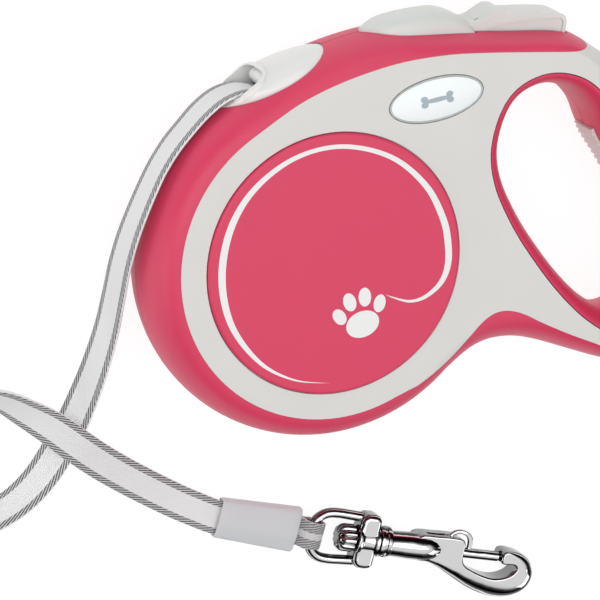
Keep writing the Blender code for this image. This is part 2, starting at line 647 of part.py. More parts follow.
# ---- reel ----------------------------------------------------------------------------------
def reel():
    """Hub with its rear flange, ratchet ring, wound tape, spiral spring and fixed axle."""
    low = MID - TAPE_WIDTH / 2 - 0.35
    high = MID + TAPE_WIDTH / 2 + 0.35
    inner = HUB_RADIUS - HUB_WALL
    turned("reel", [
        (AXLE_RADIUS + GAP, 7.0), (HUB_RADIUS, 7.0), (HUB_RADIUS, low - FLANGE_THICKNESS),
        (FLANGE_RADIUS, low - FLANGE_THICKNESS), (FLANGE_RADIUS, low), (HUB_RADIUS, low),
        (HUB_RADIUS, 29.2), (inner, 29.2), (inner, 8.6), (AXLE_RADIUS + GAP, 8.6),
    ], material_name="inner_plastic")

    bm = bmesh.new()
    loops = []
    step = 360.0 / RATCHET_TEETH
    outline = []
    for k in range(RATCHET_TEETH):
        start = PAWL_ANGLE + step * (k + 0.42)
        for turn, radius in ((0.0, FLANGE_RADIUS), (0.0, RATCHET_RADIUS), (0.16, RATCHET_RADIUS),
                             (0.40, FLANGE_RADIUS + 0.4), (0.70, FLANGE_RADIUS)):
            angle = math.radians(start + step * turn)
            outline.append((radius * math.cos(angle), radius * math.sin(angle)))
    hole = HUB_RADIUS + GAP
    for z in (high, high + FLANGE_THICKNESS):
        loops.append([bm.verts.new((x, y, z)) for x, y in outline])
    for z in (high + FLANGE_THICKNESS, high):
        loops.append([bm.verts.new((hole * x / math.hypot(x, y), hole * y / math.hypot(x, y), z))
                      for x, y in outline])
    # The two edges of a tooth's steep face share a bearing, so the hole's copies are merged.
    count = len(outline)
    for j in range(4):
        here, there = loops[j], loops[(j + 1) % 4]
        for k in range(count):
            n = (k + 1) % count
            bm.faces.new((here[k], here[n], there[n], there[k]))
    bmesh.ops.remove_doubles(bm, verts=bm.verts, dist=0.001)
    mesh_object("reel_ratchet", bm, "inner_plastic")

    half = TAPE_WIDTH / 2
    turned("wound_tape", [
        (HUB_RADIUS + GAP, MID - half), (WOUND_RADIUS, MID - half), (WOUND_RADIUS, MID + half),
        (HUB_RADIUS + GAP, MID + half),
    ], material_name="woven_tape")

    rings = []
    per_turn = 16
    first, last = AXLE_RADIUS + 1.0, inner - 1.4
    for k in range(SPRING_TURNS * per_turn + 1):
        t = 2 * math.pi * k / per_turn
        radius = first + (last - first) * k / (SPRING_TURNS * per_turn)
        out = Vector((math.cos(t), math.sin(t), 0.0))
        ring = []
        for off, z in ((0.0, 10.0), (SPRING_BAND, 10.0), (SPRING_BAND, 28.0), (0.0, 28.0)):
            point = out * (radius + off)
            ring.append((point.x, point.y, z))
        rings.append(ring)
    loft("power_spring", rings, "steel")

    axle = rod("reel_axle", (0, 0, 6.7), (0, 0, 31.2), AXLE_RADIUS, 24, "steel")
    combine(axle, rod("pilot", (0, 0, 0), (0, 0, 17.0), SCREW_RADIUS + GAP, 12), "DIFFERENCE")
    screw("axle_screw", (0.0, 0.0), AXLE_SCREW_SEAT, 16.0)
    for number, place in enumerate(SCREW_PLACES, 1):
        screw(f"case_screw_{number}", place, CASE_SCREW_SEAT, MID + 8.8)


def screw(name, place, seat, tip):
    """Pan-head screw, driven upwards, with a cross slot left to the surface finish."""
    radius, height = SCREW_HEAD
    rings = []
    for r, z in ((radius - 0.5, seat - height), (radius, seat - height + 0.5), (radius, seat - GAP / 2),
                 (SCREW_RADIUS, seat - GAP / 2), (SCREW_RADIUS, tip - 1.5), (0.5, tip)):
        rings.append([
            (place[0] + r * math.cos(t), place[1] + r * math.sin(t), z)
            for t in (2 * math.pi * k / 10 for k in range(10))
        ])
    return loft(name, rings, "steel")


# ---- brake ---------------------------------------------------------------------------------
def brake():
    """Fixed fairing, the thumb button, the carriage with its pawl, and the return spring."""
    fairing = fairing_blank(0.0)
    fairing.name = "brake_fairing"
    fairing.data.materials.append(material("button_grey"))
    pocket_low = (33.8, 50.0, MID - BUTTON_HALF - GAP)
    pocket_high = (60.0, 73.2 + GAP, MID + BUTTON_HALF + GAP)
    combine(fairing, block("pocket", pocket_low, pocket_high), "DIFFERENCE")

    prism("brake_button", BUTTON_PROFILE, MID - BUTTON_HALF, MID + BUTTON_HALF, "button_grey")
    prism("brake_carriage", CARRIAGE_PROFILE, MID + 2.6, MID + 8.6, "inner_plastic")
    coil("brake_spring", Vector((46.2, 48.1, MID + 5.6)), Vector((0, 1, 0)), 2.4, 0.45, 14.0, 4)


def coil(name, start, direction, radius, wire, length, turns):
    """Helical compression spring drawn as one closed tube."""
    direction = direction.normalized()
    side = direction.orthogonal().normalized()
    other = direction.cross(side)
    per_turn = 9
    rings = []
    total = turns * per_turn
    for k in range(total + 1):
        t = 2 * math.pi * k / per_turn
        out = side * math.cos(t) + other * math.sin(t)
        middle = start + direction * (wire + (length - 2 * wire) * k / total)
        ring = []
        for j in range(5):
            a = 2 * math.pi * j / 5
            ring.append(middle + out * (radius + wire * math.cos(a)) + direction * wire * math.sin(a))
        rings.append(ring)
    return loft(name, rings, "steel")


# ---- tape ----------------------------------------------------------------------------------
def ribbon(name, stations, width, thickness, material_name="woven_tape"):
    """Flat strip through stations of (x, y, z, lean), where lean tips its face to the left."""
    rings = []
    for k, (x, y, z, lean) in enumerate(stations):
        before = stations[max(k - 1, 0)]
        after = stations[min(k + 1, len(stations) - 1)]
        run = Vector((after[0] - before[0], after[1] - before[1], after[2] - before[2]))
        run.normalize()
        left = Vector((-run.y, run.x, 0.0)).normalized()
        up = run.cross(left) * -1 if run.cross(left).z < 0 else run.cross(left)
        tip = math.radians(lean)
        across = left * math.cos(tip) + up * math.sin(tip)
        through = up * math.cos(tip) - left * math.sin(tip)
        middle = Vector((x, y, z))
        ring = []
        for a, b in ((-1, -1), (1, -1), (1, 1), (-1, 1)):
            ring.append(middle + across * a * width / 2 + through * b * thickness / 2)
        rings.append(ring)
    return loft(name, rings, material_name)


def tapes():
    """The tape inside the drum, the free tape, the sleeve and the loop through the swivel."""
    contact = math.acos(WOUND_RADIUS / TAPE_EXIT.to_2d().length)
    bearing = math.atan2(TAPE_EXIT.y, TAPE_EXIT.x) - contact
    clear = WOUND_RADIUS + TAPE_THICKNESS / 2 + GAP
    start = Vector((clear * math.cos(bearing), clear * math.sin(bearing), MID))
    stop = TAPE_EXIT + (start - TAPE_EXIT).normalized() * GAP
    stations = [(*start.lerp(stop, k / 3), 90.0) for k in range(4)]
    ribbon("tape_lead", stations, TAPE_WIDTH, TAPE_THICKNESS)
    ribbon("tape", smooth(TAPE_ROUTE, TAPE_SAMPLES_PER_SPAN), TAPE_WIDTH, TAPE_THICKNESS)
    tape_end()


def tape_end():
    """The sleeve round the stitched end, and the doubled tape that holds the swivel's bar."""
    bar = hook_point(EYE_PIVOT_U, 0.0)
    along = (bar - SLEEVE_START).to_2d().normalized()
    across = Vector((-along.y, along.x))

    def placed(s, v, z):
        """Point s along the sleeve's axis, v across it, at height z."""
        flat = SLEEVE_START.to_2d() + along * s + across * v
        return (flat.x, flat.y, z)

    rings = []
    for s, width in zip((0.0, SLEEVE_LENGTH), SLEEVE_WIDTHS):
        ring = []
        for k in range(28):
            t = 2 * math.pi * (k + 0.5) / 28
            v, z = [math.copysign(abs(f) ** 0.4, f) for f in (math.cos(t), math.sin(t))]
            ring.append(placed(s, v * width / 2, SLEEVE_START.z + z * SLEEVE_HEIGHT / 2))
        rings.append(ring)
    sleeve = loft("tape_sleeve", rings, "sleeve_grey")
    half = TAPE_WIDTH / 2 + GAP
    rings = [[placed(s, v, SLEEVE_START.z + z) for v, z in
              ((-half, -1.8), (half, -1.8), (half, 1.8), (-half, 1.8))] for s in (-5.0, 40.0)]
    combine(sleeve, loft("hole", rings), "DIFFERENCE")

    reach = (bar - SLEEVE_START).to_2d().length
    radius = EYE_BAR_REACH + GAP + LOOP_THICKNESS / 2
    turn_steps = 12
    tuck = SLEEVE_LENGTH / 2        # the loop's ends lie one on the other inside the sleeve
    middle = [(tuck, SLEEVE_START.z + 0.9), (SLEEVE_LENGTH, SLEEVE_START.z + 0.8)]
    for k in range(turn_steps + 1):
        t = math.radians(135 - 270 * k / turn_steps)
        middle.append((reach + radius * math.cos(t), bar.z + radius * math.sin(t)))
    middle += [(SLEEVE_LENGTH, SLEEVE_START.z - 0.8), (tuck, SLEEVE_START.z - 0.9)]
    normals = inward_normals(middle, closed=False)
    half = LOOP_THICKNESS / 2
    outer = [(s + n.x * half, z + n.y * half) for (s, z), n in zip(middle, normals)]
    inner = [(s - n.x * half, z - n.y * half) for (s, z), n in zip(middle, normals)]
    outline = outer + inner[::-1]
    rings = [[placed(s, v, z) for s, z in outline] for v in (-LOOP_WIDTH / 2, LOOP_WIDTH / 2)]
    loft("tape_end_loop", rings, "woven_tape")


# ---- snap hook -----------------------------------------------------------------------------
def on_hook(thing):
    """Place a piece drawn about the hook's own axis: u along the hook, v across, w up."""
    turn = Matrix.Rotation(math.radians(HOOK_ANGLE), 4, "Z")
    thing.data.transform(Matrix.Translation(HOOK_AXIS * MM) @ turn)
    return thing


def hook_point(u, v, w=0.0):
    """World point of a place on the hook, in millimetres."""
    return HOOK_AXIS + Matrix.Rotation(math.radians(HOOK_ANGLE), 3, "Z") @ Vector((u, v, w))


def plate(name, outline, half, bevel, material_name=None):
    """Thick plate in the hook's own frame with its edges rounded by three rings a side."""
    normals = inward_normals(outline)
    rings = []
    for back, w in ((bevel, -half), (bevel * 0.3, -half + bevel * 0.3), (0.0, -half + bevel),
                    (0.0, half - bevel), (bevel * 0.3, half - bevel * 0.3), (bevel, half)):
        rings.append([(u + n.x * back, v + n.y * back, w) for (u, v), n in zip(outline, normals)])
    return loft(name, rings, material_name)


def snap_hook():
    """Swivel eye, hook with its post, the gate bolt and the gate's spring."""
    eye = plate("swivel_eye", EYE_OUTER, 1.9, 0.9, "chrome")
    combine(eye, prism("window", EYE_INNER, -10.0, 10.0), "DIFFERENCE")
    combine(eye, rod("barrel", (-8.1, 0, 0), (-0.3, 0, 0), BARREL_RADIUS, 24), "UNION")
    combine(eye, rod("bore", (-20.0, 0, 0), (3.0, 0, 0), POST_RADIUS + GAP, 20), "DIFFERENCE")

    hook = plate("snap_hook", HOOK_OUTLINE[::-1], HOOK_HALF_THICKNESS, 1.2, "chrome")
    hook.data.transform(Matrix.Translation((0, 0, -1.1 * MM)))
    combine(hook, rod("shank", (2.0, SHANK_V, 0), (19.5, SHANK_V, 0), SHANK_RADIUS, 24), "UNION")
    combine(hook, rod("collar", (0.1, 0, 0), (4.0, 0, 0), BARREL_RADIUS, 24), "UNION")
    combine(hook, rod("post", (-10.0, 0, 0), (2.0, 0, 0), POST_RADIUS, 20), "UNION")
    combine(hook, rod("head", (-14.6, 0, 0), (-8.5, 0, 0), 4.7, 24), "UNION")
    combine(hook, rod("bore", (9.6, GATE_V, 0), (40.0, GATE_V, 0), GATE_RADIUS + GAP, 16),
            "DIFFERENCE")
    combine(hook, block("slot", (17.6, GATE_V, -1.0), (40.0, 10.0, 1.0)), "DIFFERENCE")

    gate = rod("hook_gate", (22.4, GATE_V, 0), (45.5, GATE_V, 0), GATE_RADIUS, 16, "chrome")
    stud = [(25.0, GATE_V), (34.6, GATE_V), (34.8, 3.6), (33.4, 6.0), (30.6, 7.0), (27.6, 6.6),
            (25.6, 4.8)]
    combine(gate, prism("stud", stud, -0.7, 0.7), "UNION")
    spring = coil("gate_spring", Vector((9.9, GATE_V, 0)), Vector((1, 0, 0)), 1.2, 0.3, 12.2, 6)
    for piece in (eye, hook, gate, spring):
        on_hook(piece)


def main():
    for thing in list(bpy.data.objects):
        bpy.data.objects.remove(thing)
    frame_and_bands()
    liners()
    discs_and_badge()
    outlet()
    reel()
    brake()
    tapes()
    snap_hook()


main()
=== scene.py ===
"""Looks of the retractable tape leash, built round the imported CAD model.

Same frame as the CAD: +X from the reel to the grip, +Y to the brake button, +Z out of the upper
side, origin in the middle of the rear disc's face.  Lengths are millimetres, turned into metres by
mesh_object().  Each visible solid is drawn again here with finer curves and rounded edges, in
the place of its CAD node.
"""
import math

import bmesh
import bpy
from mathutils import Matrix, Vector


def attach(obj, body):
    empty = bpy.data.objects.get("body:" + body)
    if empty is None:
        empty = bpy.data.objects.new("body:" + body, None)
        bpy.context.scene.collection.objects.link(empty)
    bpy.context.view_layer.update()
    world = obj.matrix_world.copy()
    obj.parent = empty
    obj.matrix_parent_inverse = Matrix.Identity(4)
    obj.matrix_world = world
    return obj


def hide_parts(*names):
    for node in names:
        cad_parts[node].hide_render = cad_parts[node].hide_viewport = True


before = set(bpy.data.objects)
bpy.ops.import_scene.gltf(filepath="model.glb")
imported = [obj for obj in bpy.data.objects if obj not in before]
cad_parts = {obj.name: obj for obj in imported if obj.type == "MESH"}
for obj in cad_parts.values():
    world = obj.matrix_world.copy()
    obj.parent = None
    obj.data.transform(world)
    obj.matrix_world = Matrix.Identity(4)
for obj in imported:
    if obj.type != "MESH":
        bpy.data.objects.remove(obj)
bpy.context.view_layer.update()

MM = 0.001
GAP = 0.3
SEAM = 0.06                     # seam seen between the casing and its rim band
THICKNESS = 36.0
MID = THICKNESS / 2

# ---- housing, as in the CAD ----------------------------------------------------------------
CASE_HALF = 17.0
DRUM_RADIUS = 59.5
RING_RADIUS = 50.5
DRUM_RIM = DRUM_RADIUS - RING_RADIUS
DISC_RADIUS = 42.0
DISC_THICKNESS = 2.0
CASE_WALL = 2.4
CAVITY_HALF = 13.6
DRUM_ARC = (118.0, 318.0)
HANDLE_OUTLINE = [
    (50.0, -35.2, 10.0), (55.2, -32.4, 11.0), (61.0, -31.0, 11.0), (68.0, -30.9, 10.0),
    (76.5, -32.6, 8.5), (88.0, -36.2, 7.0), (100.0, -39.8, 7.0), (112.0, -41.2, 8.0),
    (123.0, -38.0, 8.5), (130.5, -29.0, 9.0), (132.8, -16.0, 9.0), (130.6, 1.0, 9.0),
    (125.4, 18.0, 9.0), (118.4, 33.0, 9.0), (109.5, 47.0, 8.5), (100.5, 56.8, 7.5),
    (90.5, 63.4, 6.0), (82.5, 67.9, 5.0), (74.0, 70.2, 5.0), (56.0, 70.6, 5.0),
    (36.0, 71.2, 6.0), (20.0, 71.2, 7.4), (8.0, 69.2, 8.6), (-5.0, 65.0, 9.0), (-17.0, 59.2, 9.0),
]
BAND_TOP = [
    (92.0, 69.0), (87.0, 66.2), (82.0, 65.4), (76.0, 65.1), (62.0, 65.4), (48.0, 65.6),
    (34.0, 65.3), (19.0, 63.4), (5.5, 59.8), (-5.5, 55.7), (-14.4, 51.3), (-22.2, 46.15),
]
BAND_ARC = (124.5, 298.0)
BAND_LOWER = [
    (31.0, -41.4), (37.5, -36.9), (43.0, -32.0), (48.0, -26.2), (52.0, -21.6), (56.0, -19.0),
    (60.5, -18.4), (66.0, -19.8), (73.0, -23.2), (83.0, -27.6), (94.0, -31.9), (105.0, -37.0),
    (113.0, -44.0),
]
FINGER_OPENING = [
    (56.6, 36.0), (58.2, 25.0), (64.6, 12.6), (72.6, 1.4), (82.0, -9.6), (92.0, -18.6),
    (101.5, -23.4), (109.4, -21.0), (112.2, -10.0), (108.2, 6.0), (100.6, 22.4), (92.2, 34.4),
    (87.0, 44.4), (79.0, 51.2), (69.0, 52.6), (60.4, 47.6),
]
OPENING_SAMPLES = 8             # samples to each span of the finger opening
LINER_FLARE = 5.5
LINER_WALL = 2.2
PAD_SPAN = (9.0, 11.25)          # the part of the opening's outline that the pad covers
PAD_HALF = 6.2
PAD_PROUD = 0.9
PAD_RIBS = 15

NOZZLE_CENTRE = Vector((-17.2, 56.5, MID))
NOZZLE_AXES = (20.5, 4.9, 12.4)
NOZZLE_ANGLE = 24.0
MOUTH_POINT = Vector((-20.7, 60.2))
MOUTH_NORMAL = Vector((-0.655, 0.756))
TUNNEL_THROUGH = Vector((-22.0, 53.9))
TUNNEL_DIRECTION = Vector((0.977, -0.21))
TUNNEL_HALF = (5.0, 8.8)
LIP_RADIUS = 1.3
GUIDE_PLACE = Vector((-20.6, 56.0))

SCREW_PLACES = [(46.0, 38.0), (58.5, -12.0), (112.0, -32.0), (99.4, 48.0), (119.6, 6.0)]
SCREW_RADIUS = 1.5
SCREW_HEAD_RADIUS = 2.9
CASE_SCREW_SEAT = 4.6

BUTTON_HALF = 6.5
BUTTON_SLOT = (34.0, 79.3)      # where the button's slot starts and ends along x
BUTTON_DIMPLE = (49.0, MID + 3.4)
DISH_DEPTH = 0.5
FAIRING_HALF = 9.4
FAIRING_PROFILE = [
    (9.5, 67.0), (48.6, 67.0), (46.9, 70.4), (44.6, 73.4), (38.6, 76.3), (36.4, 76.6),
    (28.0, 75.7), (19.0, 73.9), (9.5, 70.6),
]
FAIRING_BOW = [                 # along x, half width of the front end
    (10.8, 0.4), (12.6, 2.6), (15.0, 5.2), (18.0, 7.5), (22.0, 9.0), (27.0, 9.4), (36.0, 8.9),
    (48.6, 8.2),
]
HULL_POWER = 0.45               # below 1 the fairing's section is nearer to a box than to an arch
FAIRING_CURVE = [(9.5, 70.6), (14.0, 72.4), (19.0, 73.9), (28.0, 75.7), (33.0, 76.4), (36.6, 76.6),
                 (40.4, 75.8), (44.0, 74.0), (46.9, 71.0), (48.6, 67.6)]
BUTTON_CURVE = [(44.6, 72.9), (47.8, 73.0), (50.0, 74.0), (52.6, 75.7), (54.4, 76.7), (56.0, 76.9),
                (57.6, 76.6), (59.0, 75.6), (62.0, 75.55), (66.0, 75.6), (72.0, 75.5),
                (76.2, 75.2), (78.1, 74.4), (78.8, 72.6)]
BUTTON_DISH = [(47.4, 67.9), (51.0, 70.2), (56.0, 71.9), (62.0, 73.0), (70.0, 73.6), (76.6, 73.7),
               (77.6, 72.6), (77.2, 67.6)]

BADGE_CENTRE = (31.0, 51.5)
BADGE_AXES = (15.8, 6.9)
BADGE_ANGLE = 11.5
BADGE_BONE = [                  # along, up, half width, half height, tilt
    (0.0, 0.0, 4.6, 0.75, 0.0), (4.3, 0.9, 1.15, 0.95, 0.0), (4.3, -0.9, 1.15, 0.95, 0.0),
    (-4.3, 0.9, 1.15, 0.95, 0.0), (-4.3, -0.9, 1.15, 0.95, 0.0),
]
BADGE_SEAT = 33.9               # height of the floor of the badge's recess

PRINT_PROUD = 0.02
RING_PRINT = [                  # angle on the disc, radius, half width
    (-90, 38.4, 0.0), (-108, 38.5, 0.28), (-128, 38.4, 0.62), (-152, 38.0, 1.0), (-176, 37.6, 1.2),
    (-200, 37.8, 1.15), (-222, 38.0, 0.95), (-246, 38.0, 0.75), (-270, 37.8, 0.7),
    (-296, 37.6, 0.78), (-320, 37.6, 0.95), (-340, 37.8, 1.1), (-354, 38.0, 1.15),
    (-364, 38.0, 1.05), (-372.5, 36.6, 0.85), (-381, 33.2, 0.62), (-387, 28.9, 0.42),
    (-390, 23.2, 0.2), (-391, 20.4, 0.0),
]
PAW_CENTRE = Vector((9.6, -17.6))
PAW_TURN = 16.0
PAW_PADS = [                    # along, up, half width, half height, tilt
    (0.0, -2.2, 5.6, 4.3, 0.0), (-6.9, 2.6, 2.0, 2.9, 24.0), (-2.6, 6.2, 2.1, 3.1, 8.0),
    (2.6, 6.2, 2.1, 3.1, -8.0), (6.9, 2.6, 2.0, 2.9, -24.0),
]

# ---- tape, its middle line and the lean of its face, as in the CAD ---------------------------
TAPE_WIDTH = 11.5
TAPE_THICKNESS = 1.2
CORD_PITCH = 0.62
WEFT_PITCH = 0.55
HATCH_PITCH = 2.0               # stitches of the border, along the tape
HATCH_SLANT = 2.4               # how far a stitch runs along for each millimetre across
TAPE_ROUTE = [
    (-23.7, 52.8, 18.0, 90), (-28.8, 53.1, 18.3, 84), (-35.0, 51.1, 18.8, 80),
    (-40.5, 47.1, 19.2, 79), (-45.4, 42.0, 19.7, 80), (-50.3, 36.4, 20.4, 80),
    (-54.7, 29.8, 21.1, 80), (-58.0, 23.0, 21.5, 79), (-60.8, 15.6, 21.2, 78),
    (-62.9, 7.2, 19.5, 77), (-63.9, -2.4, 16.2, 76), (-64.1, -12.8, 12.4, 74),
    (-64.6, -23.6, 9.0, 70), (-66.4, -34.2, 6.8, 65), (-69.4, -44.8, 5.7, 59),
    (-73.8, -56.6, 4.9, 51), (-79.0, -67.0, 4.7, 45), (-84.8, -75.2, 4.9, 49),
    (-92.2, -81.8, 5.1, 53), (-101.2, -86.2, 5.1, 53), (-111.8, -87.8, 5.0, 51),
    (-122.0, -84.8, 4.9, 50), (-129.4, -76.8, 5.0, 50), (-131.2, -65.8, 5.2, 50),
    (-126.8, -54.8, 5.6, 50), (-117.8, -47.2, 6.6, 50), (-107.4, -44.6, 8.2, 49),
    (-98.6, -46.0, 9.6, 44), (-90.4, -50.4, 10.4, 30), (-82.0, -55.8, 10.5, 12),
    (-73.0, -62.8, 8.8, 3), (-62.8, -70.4, 5.4, 0), (-51.4, -77.8, 2.4, 0),
    (-38.4, -85.2, 1.3, 0), (-30.4, -89.0, 2.2, 0), (-23.1, -92.0, 3.2, 0),
    (-16.4, -93.6, 3.3, 0), (-10.0, -95.1, 3.3, 0),
]
TAPE_SAMPLES_PER_SPAN = 10
SLEEVE_START = Vector((-22.8, -92.1, 3.3))
SLEEVE_LENGTH = 28.2
SLEEVE_WIDTHS = (13.4, 15.4)
SLEEVE_HEIGHT = 6.0
SLEEVE_TOP = [                  # across and height, each as a share of the sleeve's half size
    (-1.0, 0.0), (-0.99, 0.22), (-0.95, 0.40), (-0.86, 0.54), (-0.70, 0.68), (-0.52, 0.83),
    (-0.40, 0.94), (-0.28, 1.0), (-0.14, 0.99), (0.10, 0.94), (0.40, 0.89), (0.68, 0.84),
    (0.84, 0.77), (0.94, 0.62), (0.99, 0.34),
]
LOOP_WIDTH = 9.0
LOOP_THICKNESS = 1.1

# ---- swivel and snap hook, as in the CAD -----------------------------------------------------
HOOK_AXIS = Vector((32.5, -103.7, 5.35))
HOOK_ANGLE = -10.5
POST_RADIUS = 2.4
GATE_RADIUS = 1.7
GATE_V = -0.8
GATE_SLOT_U = 17.6
GATE_SLOT_HALF = 1.0
EDGE_BLEND = 6                  # outline points over which the edge's rounding changes
HOOK_HALF_THICKNESS = 3.9
BACK_DEPTH = 6.2                # how far down the rounding of the hook's outer side may reach
SHANK_V = -0.4
EYE_PIVOT_U = -23.7
EYE_BAR_REACH = 2.7
HOOK_OUTLINE = [
    (14.0, -3.8), (14.0, 3.6), (22.0, 4.5), (27.0, 4.6), (30.0, 4.3), (31.3, 3.0),
    (31.5, 0.2), (31.6, -2.4),
    (33.0, -4.6), (36.4, -6.2), (40.4, -7.4), (44.0, -8.0), (47.4, -7.6), (50.4, -6.2),
    (52.0, -4.2), (51.0, -2.7), (46.4, -2.6), (46.0, 0.6), (47.4, 1.7), (50.4, 1.7),
    (54.2, 0.8), (57.6, -1.4), (59.4, -4.8), (59.2, -8.6), (57.2, -11.9), (53.6, -14.3),
    (49.2, -15.4), (44.0, -15.1), (38.6, -13.6), (33.8, -11.5), (28.8, -9.0), (24.0, -6.6),
    (19.4, -4.9),
]

# ---- camera and light ------------------------------------------------------------------------
CAMERA_PLACE = Vector((-0.4452, 0.3147, 1.1051))
CAMERA_BACK = Vector((-0.36192, 0.27144, 0.89182))      # from the object towards the camera
CAMERA_LENS = 232.114


# ---- curve helpers ---------------------------------------------------------------------------
def spline_point(p0, p1, p2, p3, t):
    """Catmull-Rom point between p1 and p2."""
    return tuple(
        0.5 * (2 * b + (c - a) * t + (2 * a - 5 * b + 4 * c - d) * t ** 2
               + (3 * b - a - 3 * c + d) * t ** 3)
        for a, b, c, d in zip(p0, p1, p2, p3)
    )


def smooth(points, per_span, closed=False):
    """Smooth curve through the points, per_span samples to each span."""
    count = len(points)
    last = count if closed else count - 1
    samples = []
    for k in range(last):
        if closed:
            four = [points[(k + j) % count] for j in (-1, 0, 1, 2)]
        else:
            four = [points[min(max(k + j, 0), count - 1)] for j in (-1, 0, 1, 2)]
        samples += [spline_point(*four, j / per_span) for j in range(per_span)]
    if not closed:
        samples.append(tuple(points[-1]))
    return samples


def arc(radius, start, end, step):
    """Points on a circle about the reel's axis, both ends included."""
    count = round(abs(end - start) / step)
    turns = [math.radians(start + (end - start) * k / count) for k in range(count + 1)]
    return [(radius * math.cos(t), radius * math.sin(t)) for t in turns]


def inward_normals(outline, closed=True):
    """Unit normals to the left of an outline's direction, which is inward when it runs CCW."""
    normals = []
    count = len(outline)
    for k in range(count):
        before = outline[(k - 1) % count] if closed else outline[max(k - 1, 0)]
        after = outline[(k + 1) % count] if closed else outline[min(k + 1, count - 1)]
        run = Vector((after[0] - before[0], after[1] - before[1])).normalized()
        normals.append(Vector((-run.y, run.x)))
    return normals


def grown(line, by, closed=True):
    """Outline moved outwards, away from its left, by millimetres."""
    return [(x - n.x * by, y - n.y * by) for (x, y), n in zip(line, inward_normals(line, closed))]


# ---- materials -------------------------------------------------------------------------------
def new_material(name):
    """An empty node material, its tree, and its Principled shader."""
    made = bpy.data.materials.new(name)
    made.use_nodes = True
    return made, made.node_tree, made.node_tree.nodes["Principled BSDF"]


def node(tree, kind, inputs=None, **settings):
    """Add a shader node, set its properties, and link or set its inputs."""
    made = tree.nodes.new(kind)
    for key, value in settings.items():
        setattr(made, key, value)
    for key, value in (inputs or {}).items():
        if isinstance(value, bpy.types.NodeSocket):
            tree.links.new(value, made.inputs[key])
        else:
            made.inputs[key].default_value = value
    return made


def maths(tree, operation, a, b=0.0, c=0.0):
    """Math node's output for numbers or sockets."""
    return node(tree, "ShaderNodeMath", {0: a, 1: b, 2: c}, operation=operation).outputs[0]


def noise(tree, size_mm, detail=2.0):
    """Noise in the row frame whose features are about size_mm across."""
    place = node(tree, "ShaderNodeTexCoord").outputs["Object"]
    return node(tree, "ShaderNodeTexNoise", {
        "Vector": place, "Scale": 1.0 / (size_mm * MM), "Detail": detail,
    }).outputs["Fac"]


def tinted(tree, factor, dark, light):
    """Colour between dark and light by a factor socket."""
    mixed = node(tree, "ShaderNodeMix", {"Factor": factor}, data_type="RGBA")
    mixed.inputs["A"].default_value = (*dark, 1.0)
    mixed.inputs["B"].default_value = (*light, 1.0)
    return mixed.outputs["Result"]


def ramp(tree, factor, stops):
    """Grey ramp through (position, value) stops."""
    made = node(tree, "ShaderNodeValToRGB", {"Fac": factor})
    elements = made.color_ramp.elements
    while len(elements) < len(stops):
        elements.new(0.5)
    for element, (position, value) in zip(elements, stops):
        element.position = position
        element.color = (value, value, value, 1.0)
    return made.outputs["Color"]


def uneven_gloss(tree, shader, size_mm, low, high):
    """Roughness that drifts between low and high."""
    gloss = node(tree, "ShaderNodeMapRange", {
        "Value": noise(tree, size_mm), "To Min": low, "To Max": high}).outputs[0]
    tree.links.new(gloss, shader.inputs["Roughness"])


def relief(tree, shader, height, strength, depth_mm):
    """Bump from a height socket."""
    bump = node(tree, "ShaderNodeBump", {"Height": height, "Strength": strength,
                                         "Distance": depth_mm * MM}).outputs[0]
    tree.links.new(bump, shader.inputs["Normal"])


def plastic(name, colour, roughness, grain_mm=0.35, grain_depth=0.02, coat=0.0, mottle=0.03):
    """Moulded plastic: fine moulding grain, faint colour mottle and uneven gloss."""
    made, tree, shader = new_material(name)
    wide = noise(tree, 18.0, 3.0)
    dark = [c * (1 - mottle) for c in colour]
    light = [min(1.0, c * (1 + mottle)) for c in colour]
    tree.links.new(tinted(tree, wide, dark, light), shader.inputs["Base Color"])
    uneven_gloss(tree, shader, 5.0, roughness - 0.04, roughness + 0.04)
    relief(tree, shader, noise(tree, grain_mm), 0.35, grain_depth)
    shader.inputs["Coat Weight"].default_value = coat
    shader.inputs["Coat Roughness"].default_value = 0.25
    return made


def metal(name, colour, roughness, grain_mm, depth):
    """Plated or plain metal with faint polishing waves."""
    made, tree, shader = new_material(name)
    tree.links.new(tinted(tree, noise(tree, 6.0), [c * 0.94 for c in colour], colour),
                   shader.inputs["Base Color"])
    shader.inputs["Metallic"].default_value = 1.0
    uneven_gloss(tree, shader, 1.6, roughness * 0.7, roughness * 1.4)
    relief(tree, shader, noise(tree, grain_mm, 1.0), 0.2, depth)
    return made


def plated_with_painted_reflections(name, colour, roughness, grain_mm, depth):
    """Bright plating with painted reflections: faces that lie flat are painted bright, the sides
    are painted dark for a dark surround, with painted highlight bands in between.
    """
    made = metal(name, colour, roughness, grain_mm, depth)
    tree = made.node_tree
    shader = tree.nodes["Principled BSDF"]
    plating_colour = shader.inputs["Base Color"].links[0].from_socket
    facing = node(tree, "ShaderNodeSeparateXYZ", {
        "Vector": node(tree, "ShaderNodeTexCoord").outputs["Normal"]}).outputs[2]
    upright = maths(tree, "ABSOLUTE", facing)
    waver = maths(tree, "SUBTRACT", noise(tree, 3.5), 0.5)
    wavering = maths(tree, "MULTIPLY_ADD", waver, 0.16, upright)
    # Painted reflection: this ramp over how flat a face lies paints dark bands for the dark
    # surround and bright bands for highlights, wavered by noise.
    painted_reflection_bands = ramp(tree, wavering, [(0.0, 0.26), (0.14, 0.20), (0.22, 0.02), (0.46, 0.02),
                                  (0.53, 0.85), (0.59, 0.85), (0.65, 0.02), (0.88, 0.03),
                                  (0.945, 0.85), (0.965, 1.0)])
    colour_mix = node(tree, "ShaderNodeMix", {"Factor": painted_reflection_bands}, data_type="RGBA")
    # Near-black colour of the painted dark reflection bands.
    colour_mix.inputs["A"].default_value = (0.02, 0.02, 0.022, 1.0)
    tree.links.new(plating_colour, colour_mix.inputs["B"])
    tree.links.new(colour_mix.outputs["Result"], shader.inputs["Base Color"])
    return made


